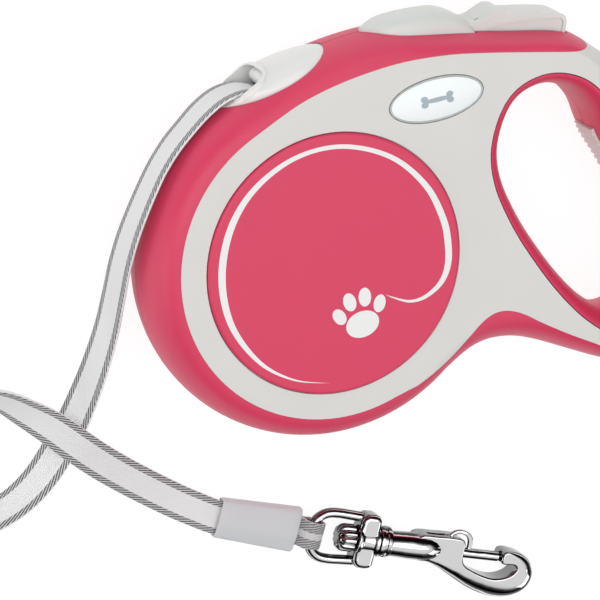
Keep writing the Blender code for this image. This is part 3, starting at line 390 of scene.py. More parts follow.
def woven(name, width, pale, line, stitch, border=(0.62, 0.97)):
    """Woven tape: lengthwise cords, weft ribs, and a hatched stitched border along each edge.

    The mesh's UV map holds millimetres: along the tape, and across it from the middle.
    """
    made, tree, shader = new_material(name)
    place = node(tree, "ShaderNodeSeparateXYZ",
                 {"Vector": node(tree, "ShaderNodeUVMap", uv_map="tape").outputs[0]})
    along, across = place.outputs[0], place.outputs[1]
    cords = maths(tree, "SINE", maths(tree, "MULTIPLY", across, 2 * math.pi / CORD_PITCH))
    wefts = maths(tree, "SINE", maths(tree, "MULTIPLY", along, 2 * math.pi / WEFT_PITCH))
    weave = maths(tree, "MULTIPLY_ADD", wefts, 0.35, cords)
    uneven = noise(tree, 0.5)
    shade = maths(tree, "MULTIPLY_ADD", weave, 0.22, maths(tree, "MULTIPLY_ADD", uneven, 0.5, 0.25))
    plain = tinted(tree, node(tree, "ShaderNodeClamp", {"Value": shade}).outputs[0], line, pale)

    edge = maths(tree, "DIVIDE", maths(tree, "ABSOLUTE", across), width / 2)
    inside = maths(tree, "MULTIPLY", maths(tree, "GREATER_THAN", edge, border[0]),
                   maths(tree, "LESS_THAN", edge, border[1]))
    slant = maths(tree, "MULTIPLY_ADD", across, -HATCH_SLANT, along)
    hatch = maths(tree, "SINE", maths(tree, "MULTIPLY", slant, 2 * math.pi / HATCH_PITCH))
    threads = node(tree, "ShaderNodeMapRange", {
        "Value": hatch, "From Min": -0.85, "From Max": -0.3}).outputs[0]
    mask = maths(tree, "MULTIPLY", inside, threads)
    colour = node(tree, "ShaderNodeMix", {"Factor": mask}, data_type="RGBA")
    tree.links.new(plain, colour.inputs["A"])
    colour.inputs["B"].default_value = (*stitch, 1.0)
    tree.links.new(colour.outputs["Result"], shader.inputs["Base Color"])
    shader.inputs["Roughness"].default_value = 0.78
    shader.inputs["Sheen Weight"].default_value = 0.25
    shader.inputs["Sheen Roughness"].default_value = 0.4
    height = maths(tree, "MULTIPLY_ADD", maths(tree, "MULTIPLY", hatch, inside), 0.8, weave)
    relief(tree, shader, height, 0.25, 0.09)
    return made


def make_materials():
    """Every finish, by the record's slot name or by its own."""
    return {
        "pale_plastic": plastic("pale_plastic_finish", (0.705, 0.695, 0.665), 0.44, coat=0.05),
        "soft_red": plastic("soft_red_finish", (0.690, 0.042, 0.112), 0.46, 0.25, 0.03),
        "disc_red": plastic("disc_red_finish", (0.700, 0.040, 0.112), 0.40, 0.30, 0.015),
        "white_plastic": plastic("white_plastic_finish", (0.80, 0.80, 0.785), 0.30, coat=0.3),
        "button_grey": plastic("button_grey_finish", (0.675, 0.695, 0.665), 0.38, coat=0.15),
        "badge_clear": plastic("badge_finish", (0.90, 0.94, 0.95), 0.14, 2.0, 0.004, coat=0.6),
        "badge_print": plastic("badge_print_finish", (0.34, 0.42, 0.46), 0.22, coat=0.6),
        "white_print": plastic("white_print_finish", (0.86, 0.86, 0.85), 0.42, mottle=0.01),
        "sleeve_grey": plastic("sleeve_grey_finish", (0.615, 0.625, 0.645), 0.60, 0.8, 0.03),
        "inner_plastic": plastic("inner_plastic_finish", (0.10, 0.10, 0.11), 0.5),
        "woven_tape": woven("woven_tape_finish", TAPE_WIDTH, (0.84, 0.84, 0.84),
                            (0.72, 0.72, 0.73), (0.13, 0.13, 0.14)),
        "woven_loop": woven("woven_loop_finish", LOOP_WIDTH, (0.70, 0.70, 0.70),
                            (0.50, 0.50, 0.51), (0.19, 0.19, 0.20), (0.24, 0.96)),
        "wound_tape": plastic("wound_tape_finish", (0.55, 0.55, 0.55), 0.8, 0.5, 0.08),
        "badge_edge": plastic("badge_edge_finish", (0.52, 0.55, 0.55), 0.20, coat=0.6),
        # Chrome whose colour has painted reflections and painted highlights by face direction.
        "chrome": plated_with_painted_reflections("chrome_finish", (0.90, 0.90, 0.91), 0.07, 2.6, 0.012),
        "steel": metal("steel_finish", (0.50, 0.50, 0.52), 0.30, 0.4, 0.01),
    }


materials = make_materials()


# ---- mesh tools ------------------------------------------------------------------------------
def shaded(mesh, sharp_angle):
    """Smooth shading that breaks at edges over sharp_angle degrees."""
    mesh.shade_smooth()
    mesh.set_sharp_from_angle(angle=math.radians(sharp_angle))


def mesh_object(name, bm, sharp_angle=35.0):
    """Turn a bmesh in millimetres into an object in metres with its faces pointing out."""
    bmesh.ops.scale(bm, vec=(MM, MM, MM), verts=bm.verts)
    bmesh.ops.recalc_face_normals(bm, faces=bm.faces)
    mesh = bpy.data.meshes.new(name)
    bm.to_mesh(mesh)
    bm.free()
    shaded(mesh, sharp_angle)
    thing = bpy.data.objects.new(name, mesh)
    bpy.context.scene.collection.objects.link(thing)
    return thing


def turns(count, start=0.0):
    """Angles of count equal steps round a circle; start is in steps."""
    return [2 * math.pi * (k + start) / count for k in range(count)]


def squared(t, power):
    """Cosine and sine of t on a circle that a power under 1 pulls towards a square."""
    return [math.copysign(abs(f) ** power, f) for f in (math.cos(t), math.sin(t))]


def quarter(steps):
    """Angles from nought to a right angle in equal steps, both ends included."""
    return [math.pi / 2 * k / steps for k in range(steps + 1)]


def skin(bm, rings, closed=False):
    """Vertices of the rings, with faces from each ring to the next and, if closed, to the first."""
    loops = [[bm.verts.new(point) for point in ring] for ring in rings]
    count = len(loops[0])
    following = loops[1:] + loops[:1] if closed else loops[1:]
    for here, there in zip(loops, following):
        for k in range(count):
            n = (k + 1) % count
            bm.faces.new((here[k], here[n], there[n], there[k]))
    return loops


def loft(name, rings, sharp_angle=35.0):
    """Closed solid through rings of equal length, capped at both ends."""
    bm = bmesh.new()
    loops = skin(bm, rings)
    bm.faces.new(loops[0][::-1])
    bm.faces.new(loops[-1])
    return mesh_object(name, bm, sharp_angle)


def looped(name, rings, sharp_angle=35.0):
    """Closed solid through rings whose last one joins the first."""
    bm = bmesh.new()
    skin(bm, rings, closed=True)
    return mesh_object(name, bm, sharp_angle)


def prism(name, outline, low, high):
    """Outline in the XY plane, extruded along Z from low to high."""
    rings = [[(p[0], p[1], z) for p in outline] for z in (low, high)]
    return loft(name, rings)


def rod(name, start, end, radius, segments=32):
    """Solid cylinder between two points."""
    start, end = Vector(start), Vector(end)
    bm = bmesh.new()
    turn = (end - start).to_track_quat("Z", "Y").to_matrix().to_4x4()
    place = Matrix.Translation((start + end) / 2) @ turn
    bmesh.ops.create_cone(
        bm, cap_ends=True, segments=segments, radius1=radius, radius2=radius,
        depth=(end - start).length, matrix=place,
    )
    return mesh_object(name, bm)


def block(name, low, high):
    """Box between two corners."""
    outline = [(low[0], low[1]), (high[0], low[1]), (high[0], high[1]), (low[0], high[1])]
    return prism(name, outline, low[2], high[2])


def bake(thing):
    """Apply the object's modifiers to its mesh."""
    bpy.context.view_layer.update()
    evaluated = thing.evaluated_get(bpy.context.evaluated_depsgraph_get())
    result = bpy.data.meshes.new_from_object(evaluated)
    thing.modifiers.clear()
    old = thing.data
    thing.data = result
    bpy.data.meshes.remove(old)
    return thing


def combine(target, tool, operation):
    """Boolean the tool into the target and remove the tool."""
    step = target.modifiers.new("cut", "BOOLEAN")
    step.operation = operation
    step.solver = "EXACT"
    step.object = tool
    bake(target)
    bpy.data.objects.remove(tool)
    return target


def copy_of(thing, name):
    """Separate object with a copy of the mesh."""
    made = bpy.data.objects.new(name, thing.data.copy())
    bpy.context.scene.collection.objects.link(made)
    return made


def mirrored(thing, name):
    """Copy turned over about the parting plane."""
    made = copy_of(thing, name)
    made.data.transform(Matrix.Translation((0, 0, THICKNESS * MM)) @ Matrix.Scale(-1, 4, (0, 0, 1)))
    made.data.flip_normals()
    return made


def round_edges(thing, width, segments=3, angle=38.0):
    """Round the sharp edges and keep flat faces flat in shading."""
    bevel = thing.modifiers.new("edges", "BEVEL")
    bevel.width = width * MM
    bevel.segments = segments
    bevel.limit_method = "ANGLE"
    bevel.angle_limit = math.radians(angle)
    bevel.use_clamp_overlap = True
    bevel.harden_normals = False
    bake(thing)
    shaded(thing.data, 50)
    return flat_faces(thing)


def flat_faces(thing):
    """Keep large flat faces flat in shading beside rounded ones."""
    weighted = thing.modifiers.new("shading", "WEIGHTED_NORMAL")
    weighted.keep_sharp = True
    weighted.weight = 80
    return thing


def dressed(thing, finish):
    """Give the piece one finish and no other."""
    thing.data.materials.clear()
    thing.data.materials.append(materials[finish])


def settle(thing, body, slot_name, *nodes, material=None):
    """Give the piece its finish, its CAD body, and the CAD nodes that it stands for."""
    dressed(thing, material or slot_name)
    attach(thing, body)
    if nodes:
        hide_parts(*nodes)
    return thing


# ---- camera, stage and light -----------------------------------------------------------------
def camera_and_stage():
    """Camera at the photograph's angle, pale floor, soft studio light."""
    camera = bpy.data.objects.new("camera", bpy.data.cameras.new("camera"))
    camera.data.lens = CAMERA_LENS
    camera.data.sensor_width = 36.0
    camera.data.clip_start = 0.05
    camera.location = CAMERA_PLACE
    camera.rotation_mode = "QUATERNION"
    camera.rotation_quaternion = Vector((0, 0, 1)).rotation_difference(CAMERA_BACK)
    bpy.context.scene.collection.objects.link(camera)
    bpy.context.scene.camera = camera

    made, tree, shader = new_material("floor_finish")
    tree.links.new(tinted(tree, noise(tree, 60.0), (0.13, 0.13, 0.13), (0.14, 0.14, 0.14)),
                   shader.inputs["Base Color"])
    shader.inputs["Roughness"].default_value = 0.9
    shader.inputs["Emission Color"].default_value = (1.0, 1.0, 1.0, 1.0)
    shader.inputs["Emission Strength"].default_value = 0.90
    bm = bmesh.new()
    bmesh.ops.create_grid(bm, x_segments=8, y_segments=8, size=3000.0)
    floor = mesh_object("floor", bm)
    floor.data.materials.append(made)

    for name, place, size, watts in (
        ("key", (-0.75, 0.35, 1.10), 0.9, 5.1),
        ("top", (0.25, 0.10, 1.40), 1.2, 4.9),
        ("side", (0.95, -0.75, 0.55), 0.6, 1.9),
        ("left", (-1.10, -0.30, 0.34), 0.5, 2.4),
        ("back", (0.05, 1.15, 0.60), 0.6, 2.6),
    ):
        light = bpy.data.objects.new(name, bpy.data.lights.new(name, "AREA"))
        light.data.energy = watts
        light.data.size = size
        light.location = place
        light.rotation_mode = "QUATERNION"
        light.rotation_quaternion = Vector(place).to_track_quat("Z", "Y")
        bpy.context.scene.collection.objects.link(light)

    world = bpy.data.worlds.new("studio")
    world.use_nodes = True
    tree = world.node_tree
    direction = node(tree, "ShaderNodeTexCoord").outputs["Generated"]
    height = node(tree, "ShaderNodeSeparateXYZ", {"Vector": direction}).outputs[2]
    # Bright overhead, darker walls: polished metal then shows dark sides and bright tops.
    shade = ramp(tree, maths(tree, "MULTIPLY_ADD", height, 0.5, 0.5),
                 [(0.0, 0.20), (0.5, 0.05), (0.66, 0.04), (0.78, 0.12), (0.86, 0.90),
                  (0.95, 1.0), (1.0, 0.7)])
    tree.links.new(shade, tree.nodes["Background"].inputs["Color"])
    tree.nodes["Background"].inputs["Strength"].default_value = 0.75
    bpy.context.scene.world = world
    bpy.context.scene.view_settings.view_transform = "Standard"


# ---- housing ---------------------------------------------------------------------------------
def case_outline():
    """Housing outline at the parting plane as (x, y, rim width), counter-clockwise."""
    drum = [(x, y, DRUM_RIM) for x, y in arc(DRUM_RADIUS, *DRUM_ARC, 2.5)]
    handle = smooth([drum[-1], *HANDLE_OUTLINE, drum[0]], 5)
    return drum + handle[1:-1]


def rim_rings(outline, normals, inset, half, low, steps=10):
    """Rings of a quarter-round edge, as wide as the rim, from height low up to MID + half."""
    rings = []
    for t in quarter(steps):
        z = max(half * math.sin(t), low - MID)
        ring = []
        for (x, y, rim), normal in zip(outline, normals):
            back = inset + rim * (1 - math.cos(t))
            ring.append((x + normal.x * back, y + normal.y * back, MID + z))
        rings.append(ring)
    return rings


def opening_rings(levels):
    """Rings round the finger opening: each level is how far it is grown, and its height."""
    outline = smooth(FINGER_OPENING, OPENING_SAMPLES, closed=True)
    return [[(x, y, MID + height) for x, y in grown(outline, by)] for by, height in levels]


def half_shell(name):
    """Hollow upper half of the housing, before it is parted into frame and band."""
    outline = case_outline()
    normals = inward_normals(outline)
    shell = loft(name, rim_rings(outline, normals, 0.0, CASE_HALF, MID + GAP / 2))
    hollow_rings = rim_rings(outline, normals, CASE_WALL, CAVITY_HALF, MID, 4)
    hollow_rings.insert(0, [(x, y, MID - 2) for x, y, _ in hollow_rings[0]])
    hollow = loft("hollow", hollow_rings)
    wall = LINER_WALL + GAP + CASE_WALL
    core = loft("core", opening_rings([
        (wall, -6), (wall, 9), (LINER_FLARE + GAP + CASE_WALL, 14), (LINER_FLARE + wall, 24),
    ]))
    combine(hollow, core, "DIFFERENCE")
    combine(shell, hollow, "DIFFERENCE")
    socket = loft("socket", opening_rings([
        (LINER_WALL + GAP, -6), (LINER_WALL + GAP, 8.3), (LINER_FLARE + GAP, 12.6),
        (LINER_FLARE + GAP, 24),
    ]))
    return combine(shell, socket, "DIFFERENCE")


def band_region(grow):
    """Prism that holds everything outside the line between pale frame and rim band."""
    line = smooth(BAND_TOP, 6) + arc(RING_RADIUS, *BAND_ARC, 2.5) + smooth(BAND_LOWER, 6)
    outside = [(150.0, -44.0), (150.0, -120.0), (-120.0, -120.0), (-120.0, 120.0), (92.0, 120.0)]
    return prism("band_region", grown(line, grow, False) + outside, -20.0, THICKNESS + 20.0)


def fairing_blank(grow):
    """Outer shape of the brake fairing, grown on all sides by grow."""
    half = FAIRING_HALF + grow
    fairing = prism("fairing", grown(FAIRING_PROFILE, grow), MID - half, MID + half)
    combine(fairing, bow_shape(grow), "INTERSECT")
    return fairing


def bow_shape(grow):
    """Upright solid that narrows the fairing's front end like a boat's bow."""
    side = smooth([(x, h + grow) for x, h in FAIRING_BOW], 4)
    tip_x = FAIRING_BOW[0][0] - 1.6 * grow
    outline = [(tip_x, 0.0)] + side + [(60.0, side[-1][1])]
    outline += [(60.0, -side[-1][1])] + [(x, -h) for x, h in reversed(side)]
    rings = [[(x, y, MID + h) for x, h in outline] for y in (60.0, 85.0)]
    return loft("bow", rings)


def nozzle_blank(grow):
    """Outer shape of the tape nozzle, a long blister on the drum's rim."""
    bm = bmesh.new()
    size = Matrix.Diagonal([a + grow for a in NOZZLE_AXES] + [1.0])
    turn = Matrix.Rotation(math.radians(NOZZLE_ANGLE), 4, "Z")
    bmesh.ops.create_uvsphere(bm, u_segments=72, v_segments=36, radius=1.0,
                              matrix=Matrix.Translation(NOZZLE_CENTRE) @ turn @ size)
    return mesh_object("nozzle_shape", bm)


def badge_ring(grow, z):
    """One oval of the badge, grown by grow, at height z."""
    turn = math.radians(BADGE_ANGLE)
    ring = []
    for t in turns(96):
        a = (BADGE_AXES[0] + grow) * math.cos(t)
        b = (BADGE_AXES[1] + grow) * math.sin(t)
        ring.append((BADGE_CENTRE[0] + a * math.cos(turn) - b * math.sin(turn),
                     BADGE_CENTRE[1] + a * math.sin(turn) + b * math.cos(turn), z))
    return ring


def frames_and_bands():
    """The two pale casings and the two soft rim bands, parted by a fine rounded seam."""
    shell = half_shell("casing")
    seat_floor = THICKNESS - DISC_THICKNESS - GAP
    seat = rod("seat", (0, 0, seat_floor), (0, 0, 50), DISC_RADIUS + GAP, 144)
    combine(shell, seat, "DIFFERENCE")
    band = copy_of(shell, "band")
    combine(shell, band_region(0.0), "DIFFERENCE")
    combine(band, band_region(SEAM), "INTERSECT")

    slot_low = (BUTTON_SLOT[0], 60.0, MID - BUTTON_HALF - GAP)
    slot_high = (BUTTON_SLOT[1], 80.0, MID + BUTTON_HALF + GAP)
    combine(band, block("slot", slot_low, slot_high), "DIFFERENCE")
    combine(band, fairing_blank(GAP), "DIFFERENCE")
    combine(band, nozzle_blank(GAP), "DIFFERENCE")

    rear = mirrored(shell, "rear_case_shell")
    for x, y in SCREW_PLACES:
        boss = rod("boss", (x, y, 3.0), (x, y, MID - 0.4), SCREW_RADIUS + CASE_WALL)
        combine(rear, boss, "UNION")
        sink = rod("sink", (x, y, -2), (x, y, CASE_SCREW_SEAT), SCREW_HEAD_RADIUS + GAP)
        combine(rear, sink, "DIFFERENCE")
    rear_band = mirrored(band, "rear_soft_band")
    recess = loft("recess", [badge_ring(GAP, BADGE_SEAT), badge_ring(GAP, THICKNESS + 4)])
    combine(shell, recess, "DIFFERENCE")
    shell.name, band.name = "front_case_shell", "front_soft_band"
    for thing, slot_name, cad in (
        (shell, "pale_plastic", "front_casing"), (band, "soft_red", "front_rim_band"),
        (rear, "pale_plastic", "rear_casing"), (rear_band, "soft_red", "rear_rim_band"),
    ):
        round_edges(thing, 0.28 if slot_name == "pale_plastic" else 0.45)
        settle(thing, "housing", slot_name, cad)


def finger_lining():
    """Soft lining of the finger opening in two halves, and the ribbed pad on the grip."""
    inner = opening_rings([(LINER_FLARE * (1 - math.cos(t)), max(CASE_HALF * math.sin(t), GAP / 2))
                           for t in quarter(12)])
    outer = opening_rings([(LINER_FLARE + 0.02, 12.9), (LINER_WALL, 8.0), (LINER_WALL, GAP / 2)])
    lining = looped("front_grip_lining", inner + outer)
    combine(lining, grip_pad("pad_pocket", GAP), "DIFFERENCE")
    rear = mirrored(lining, "rear_grip_lining")
    for thing, cad in ((lining, "front_liner"), (rear, "rear_liner")):
        round_edges(thing, 0.2)
        settle(thing, "housing", "soft_red", cad)

    pad = grip_pad("ribbed_grip_pad", 0.0)
    round_edges(pad, 0.25, 2)
    settle(pad, "housing", "pale_plastic", "grip_pad")


def grip_pad(name, grow):
    """Strip let into the lining where the fingers pull, its face ribbed across the grip."""
    outline = smooth(FINGER_OPENING, OPENING_SAMPLES, closed=True)
    normals = inward_normals(outline)
    first, last = [round(v * OPENING_SAMPLES) for v in PAD_SPAN]
    backs, fronts = [], []
    rib_steps = 6
    count = (last - first) * rib_steps
    for k in range(count + 1):
        place = first + k / rib_steps
        j = min(int(place), last - 1)
        blend = place - j
        x, y = [a + (b - a) * blend for a, b in zip(outline[j], outline[j + 1])]
        normal = normals[j].lerp(normals[j + 1], blend).normalized()
        back = LINER_WALL - GAP / 3 + grow * 2
        rib = 0.0 if grow else 0.30 * (1 - math.cos(2 * math.pi * PAD_RIBS * k / count))
        front = -PAD_PROUD - grow + rib
        backs.append((x - normal.x * back, y - normal.y * back))
        fronts.append((x - normal.x * front, y - normal.y * front))
    if grow:
        for line in (backs, fronts):
            for end, beside in ((0, 1), (-1, -2)):
                run = Vector(line[end]) - Vector(line[beside])
                moved = Vector(line[end]) + run.normalized() * grow
                line[end] = (moved.x, moved.y)
    half = PAD_HALF + grow
    return prism(name, backs + fronts[::-1], MID - half, MID + half)


# ---- discs and badge -------------------------------------------------------------------------
def side_discs():
    """The two discs, and the pale printed line and paw on the one in view."""
    top = THICKNESS
    edge = 0.9                      # rounding of the disc's rim
    profile = [(DISC_RADIUS - edge * (1 - math.cos(t)), top - edge + edge * math.sin(t))
               for t in quarter(5)]
    profile = [(DISC_RADIUS, top - DISC_THICKNESS)] + profile + [(DISC_RADIUS - 6, top)]
    rings = [[(x, y, z) for x, y in arc(r, 0, 357.5, 2.5)] for r, z in profile]
    front = loft("front_side_disc", rings)
    rear = mirrored(front, "rear_side_disc")
    for thing, cad in ((front, "front_disc"), (rear, "rear_disc")):
        round_edges(thing, 0.05, 1)
        settle(thing, "housing", "disc_red", cad)

    middle = [(r * math.cos(math.radians(a)), r * math.sin(math.radians(a)), w)
              for a, r, w in RING_PRINT]
    middle = smooth(middle, 8)
    normals = inward_normals(middle, closed=False)
    bm = bmesh.new()
    sides = []
    for (x, y, half), n in zip(middle, normals):
        half = max(half, 0.02)
        sides.append([bm.verts.new((x + n.x * half * side, y + n.y * half * side, top + z))
                      for side, z in ((-1, -0.1), (1, -0.1), (1, PRINT_PROUD), (-1, PRINT_PROUD))])
    for a, b in zip(sides, sides[1:]):
        for k in range(4):
            bm.faces.new((a[k], a[(k + 1) % 4], b[(k + 1) % 4], b[k]))
    bm.faces.new(sides[0])
    bm.faces.new(sides[-1][::-1])
    settle(mesh_object("printed_line", bm), "housing", "disc_red", material="white_print")
    paw = pads("printed_paw", PAW_CENTRE, PAW_TURN, PAW_PADS, top - 0.1, top + PRINT_PROUD)
    settle(paw, "housing", "disc_red", material="white_print")


def pads(name, centre, turn, ovals, low, high):
    """Flat ovals in one mesh, each (along, up, half width, half height, tilt)."""
    bm = bmesh.new()
    spin = Matrix.Rotation(math.radians(turn), 2)
    for step, (u, v, a, b, tilt) in enumerate(ovals):
        lean = Matrix.Rotation(math.radians(tilt), 2)
        rings = []
        for z in (low, high + 0.012 * step):
            ring = []
            for t in turns(40):
                oval = lean @ Vector((a * math.cos(t), b * math.sin(t)))
                point = centre + spin @ (oval + Vector((u, v)))
                ring.append((point.x, point.y, z))
            rings.append(ring)
        lower, upper = skin(bm, rings)
        bm.faces.new(lower[::-1])
        bm.faces.new(upper)
    return mesh_object(name, bm)


def badge():
    """Oval badge: a bright rim, a domed clear-coated face, and a plain raised bone."""
    rim = [badge_ring(0.0, 34.2), badge_ring(0.0, 35.1), badge_ring(-0.15, 35.3),
           badge_ring(-0.4, 35.3), badge_ring(-0.5, 35.1), badge_ring(-0.7, 34.6)]
    settle(loft("badge_rim", rim, sharp_angle=30), "housing", "badge_clear", "badge",
           material="badge_edge")
    face = []
    for k in range(9):
        out = 1.0 - k / 9
        rise = math.sqrt(1 - (out * 0.97) ** 2)
        face.append([(BADGE_CENTRE[0] + (x - BADGE_CENTRE[0]) * out,
                      BADGE_CENTRE[1] + (y - BADGE_CENTRE[1]) * out, 35.0 + 0.75 * rise)
                     for x, y, _ in badge_ring(-0.6, 0.0)])
    face.insert(0, badge_ring(-0.6, 34.4))
    settle(loft("badge_face", face, sharp_angle=60), "housing", "badge_clear")
    mark = pads("badge_bone", Vector(BADGE_CENTRE), BADGE_ANGLE, BADGE_BONE, 35.3, 35.84)
    settle(mark, "housing", "badge_clear", material="badge_print")


# ---- tape outlet -----------------------------------------------------------------------------
def tape_outlet():
    """Nozzle blister with a slanted mouth, and the rounded guide that the tape runs under."""
    nozzle = nozzle_blank(0.0)
    inside = rod("inside", (0, 0, -10), (0, 0, 50), DRUM_RADIUS - CASE_WALL - 0.9, 144)
    combine(nozzle, inside, "DIFFERENCE")
    along = Vector((MOUTH_NORMAL.y, -MOUTH_NORMAL.x))
    corners = [MOUTH_POINT - along * 40, MOUTH_POINT + along * 40]
    corners += [corners[1] + MOUTH_NORMAL * 30, corners[0] + MOUTH_NORMAL * 30]
    combine(nozzle, prism("mouth", corners[::-1], -10.0, 50.0), "DIFFERENCE")
    across = Vector((-TUNNEL_DIRECTION.y, TUNNEL_DIRECTION.x))
    combine(nozzle, mouth_lip(across), "UNION")
    rings = []
    for distance in (-25.0, 30.0):
        middle = TUNNEL_THROUGH + TUNNEL_DIRECTION * distance
        ring = []
        for t in turns(80, 0.5):
            wide = squared(t, 0.5)
            point = middle + across * TUNNEL_HALF[0] * wide[0]
            ring.append((point.x, point.y, MID + TUNNEL_HALF[1] * wide[1]))
        rings.append(ring)
    combine(nozzle, loft("tunnel", rings), "DIFFERENCE")
    nozzle.name = "nozzle_blister"
    round_edges(nozzle, 0.55, 4, 30)
    settle(nozzle, "housing", "white_plastic", "nozzle")

    profile = [(0.8, -8.4), (1.0, -6.9)]
    profile += [(0.6 + 1.8 * math.sin(t), -5.0 - 1.6 * math.cos(t))
                for t in quarter(6)]
    profile += [(r, -h) for r, h in reversed(profile)]
    rings = [[(GUIDE_PLACE.x + r * math.cos(t), GUIDE_PLACE.y + r * math.sin(t), MID + h)
              for t in turns(40)] for r, h in profile]
    settle(loft("guide_roller", rings), "housing", "white_plastic", "tape_guide")


def mouth_lip(across):
    """Rounded lip that stands up round the mouth, where the tunnel meets the slanted cut."""
    rings = []
    for t in turns(72):
        wide = squared(t, 0.7)
        middle = TUNNEL_THROUGH + across * (TUNNEL_HALF[0] + 0.1) * wide[0]
        middle = middle + TUNNEL_DIRECTION * ((MOUTH_POINT - middle).dot(MOUTH_NORMAL)
                                              / TUNNEL_DIRECTION.dot(MOUTH_NORMAL))
        height = (TUNNEL_HALF[1] + 0.5) * wide[1]
        centre = Vector((middle.x, middle.y, MID + height)) - MOUTH_NORMAL.to_3d() * 0.5
        out = (across.to_3d() * wide[0] + Vector((0, 0, wide[1]))).normalized()
        rings.append([centre + out * LIP_RADIUS * math.cos(a)
                      + MOUTH_NORMAL.to_3d() * LIP_RADIUS * math.sin(a) for a in turns(12)])
    return looped("lip", rings)


# ---- brake -----------------------------------------------------------------------------------
def along_curve(points, x):
    """Second coordinate of a curve drawn from left to right, where its first is x."""
    for (x0, y0), (x1, y1) in zip(points, points[1:]):
        if x <= x1:
            return y0 + (y1 - y0) * (x - x0) / (x1 - x0)
    return points[-1][1]


def fairing_hull():
    """Solid of the brake fairing with its top rolled over into its sides."""
    tops, halves = smooth(FAIRING_CURVE, 4), smooth(FAIRING_BOW, 4)
    first, last = FAIRING_BOW[0][0], FAIRING_CURVE[-1][0]
    base = FAIRING_PROFILE[0][1]
    rings = []
    for k in range(49):
        x = first + (last - first) * k / 48
        height, half = along_curve(tops, x) - base, along_curve(halves, x)
        ring = []
        for j in range(33):
            t = math.pi * j / 32
            side = math.copysign(abs(math.cos(t)) ** HULL_POWER, math.cos(t))
            ring.append((x, base + height * math.sin(t) ** HULL_POWER, MID + half * side))
        rings.append(ring)
    return loft("fairing_cover", rings, sharp_angle=50)


def brake_pieces():
    """The fixed fairing and the thumb button with its dimple and dished sides."""
    fairing = fairing_hull()
    pocket_low = (33.8, 50.0, MID - BUTTON_HALF - GAP)
    pocket_high = (60.0, 73.2 + GAP, MID + BUTTON_HALF + GAP)
    combine(fairing, block("pocket", pocket_low, pocket_high), "DIFFERENCE")
    flat_faces(fairing)
    settle(fairing, "housing", "button_grey", "brake_fairing")

    outline = [(37.6, 67.0), (78.2, 66.4)] + smooth(BUTTON_CURVE, 3)[::-1] + [(37.6, 72.9)]
    button = prism("thumb_button", outline, MID - BUTTON_HALF, MID + BUTTON_HALF)
    dish = smooth(BUTTON_DISH[:6], 3) + BUTTON_DISH[6:]
    dish_at = BUTTON_HALF - DISH_DEPTH
    for low, high in ((MID + dish_at, MID + 20), (MID - 20, MID - dish_at)):
        combine(button, prism("dish", dish[::-1], low, high), "DIFFERENCE")
    x, z = BUTTON_DIMPLE
    dimple = rod("dimple", (x, 76.0, z), (x, 71.6, z), 0.8, 24)
    combine(button, dimple, "DIFFERENCE")
    round_edges(button, 0.7, 5, 50)
    settle(button, "brake_button", "button_grey", "brake_button")


# ---- tape ------------------------------------------------------------------------------------
def ribbon_section(width, thickness):
    """Cross-section of a flat band with rounded selvedges."""
    half, edge = width / 2, thickness / 2
    steps = 12
    face = [-half + edge + (width - 2 * edge) * k / steps for k in range(steps + 1)]
    section = [(v, edge) for v in face]
    for k in range(1, 4):
        t = math.pi / 2 - math.pi * k / 4
        section.append((half - edge + edge * math.cos(t), edge * math.sin(t)))
    section += [(v, -edge) for v in reversed(face)]
    for k in range(1, 4):
        t = -math.pi / 2 - math.pi * k / 4
        section.append((-half + edge + edge * math.cos(t), edge * math.sin(t)))
    return section


def strip(name, places, width, thickness):
    """Woven band through (middle, across, through, width factor) places, with a UV map in mm."""
    section = ribbon_section(width, thickness)
    bm = bmesh.new()
    uv = bm.loops.layers.uv.new("tape")
    loops, lengths = [], [0.0]
    for k, (middle, across, through, factor) in enumerate(places):
        loops.append([bm.verts.new(middle + across * v * factor + through * w)
                      for v, w in section])
        if k:
            lengths.append(lengths[-1] + (middle - places[k - 1][0]).length)
    count = len(section)
    for j in range(len(loops) - 1):
        for k in range(count):
            n = (k + 1) % count
            face = bm.faces.new((loops[j][k], loops[j][n], loops[j + 1][n], loops[j + 1][k]))
            for loop, (s, m) in zip(face.loops, ((j, k), (j, n), (j + 1, n), (j + 1, k))):
                loop[uv].uv = (lengths[s], section[m][0])
    for end in (0, -1):
        face = bm.faces.new(loops[end] if end else loops[end][::-1])
        for loop in face.loops:
            loop[uv].uv = (lengths[end], 0.0)
    return mesh_object(name, bm, sharp_angle=60.0), lengths[-1]


def leaning_places(stations):
    """Places of a band through (x, y, z, lean) stations, its face tipped by lean degrees."""
    places = []
    for k, (x, y, z, lean) in enumerate(stations):
        before = Vector(stations[max(k - 1, 0)][:3])
        after = Vector(stations[min(k + 1, len(stations) - 1)][:3])
        run = (after - before).normalized()
        left = Vector((-run.y, run.x, 0.0)).normalized()
        up = run.cross(left)
        if up.z < 0:
            up = -up
        tip = math.radians(lean)
        across = left * math.cos(tip) + up * math.sin(tip)
        through = up * math.cos(tip) - left * math.sin(tip)
        places.append((Vector((x, y, z)), across, through, 1.0))
    return places


def free_tape():
    """The tape from the nozzle, round its loop on the floor, to the sleeve."""
    stations = smooth(TAPE_ROUTE, TAPE_SAMPLES_PER_SPAN)
    piece, length = strip("tape_webbing", leaning_places(stations), TAPE_WIDTH, TAPE_THICKNESS)
    settle(piece, "housing", "woven_tape", "tape")
    path = [tuple(c * MM for c in station[:3]) for station in stations]
    return piece, length, path


def hook_point(u, v):
    """World point of a place on the hook, in millimetres."""
    return HOOK_AXIS + Matrix.Rotation(math.radians(HOOK_ANGLE), 3, "Z") @ Vector((u, v, 0.0))


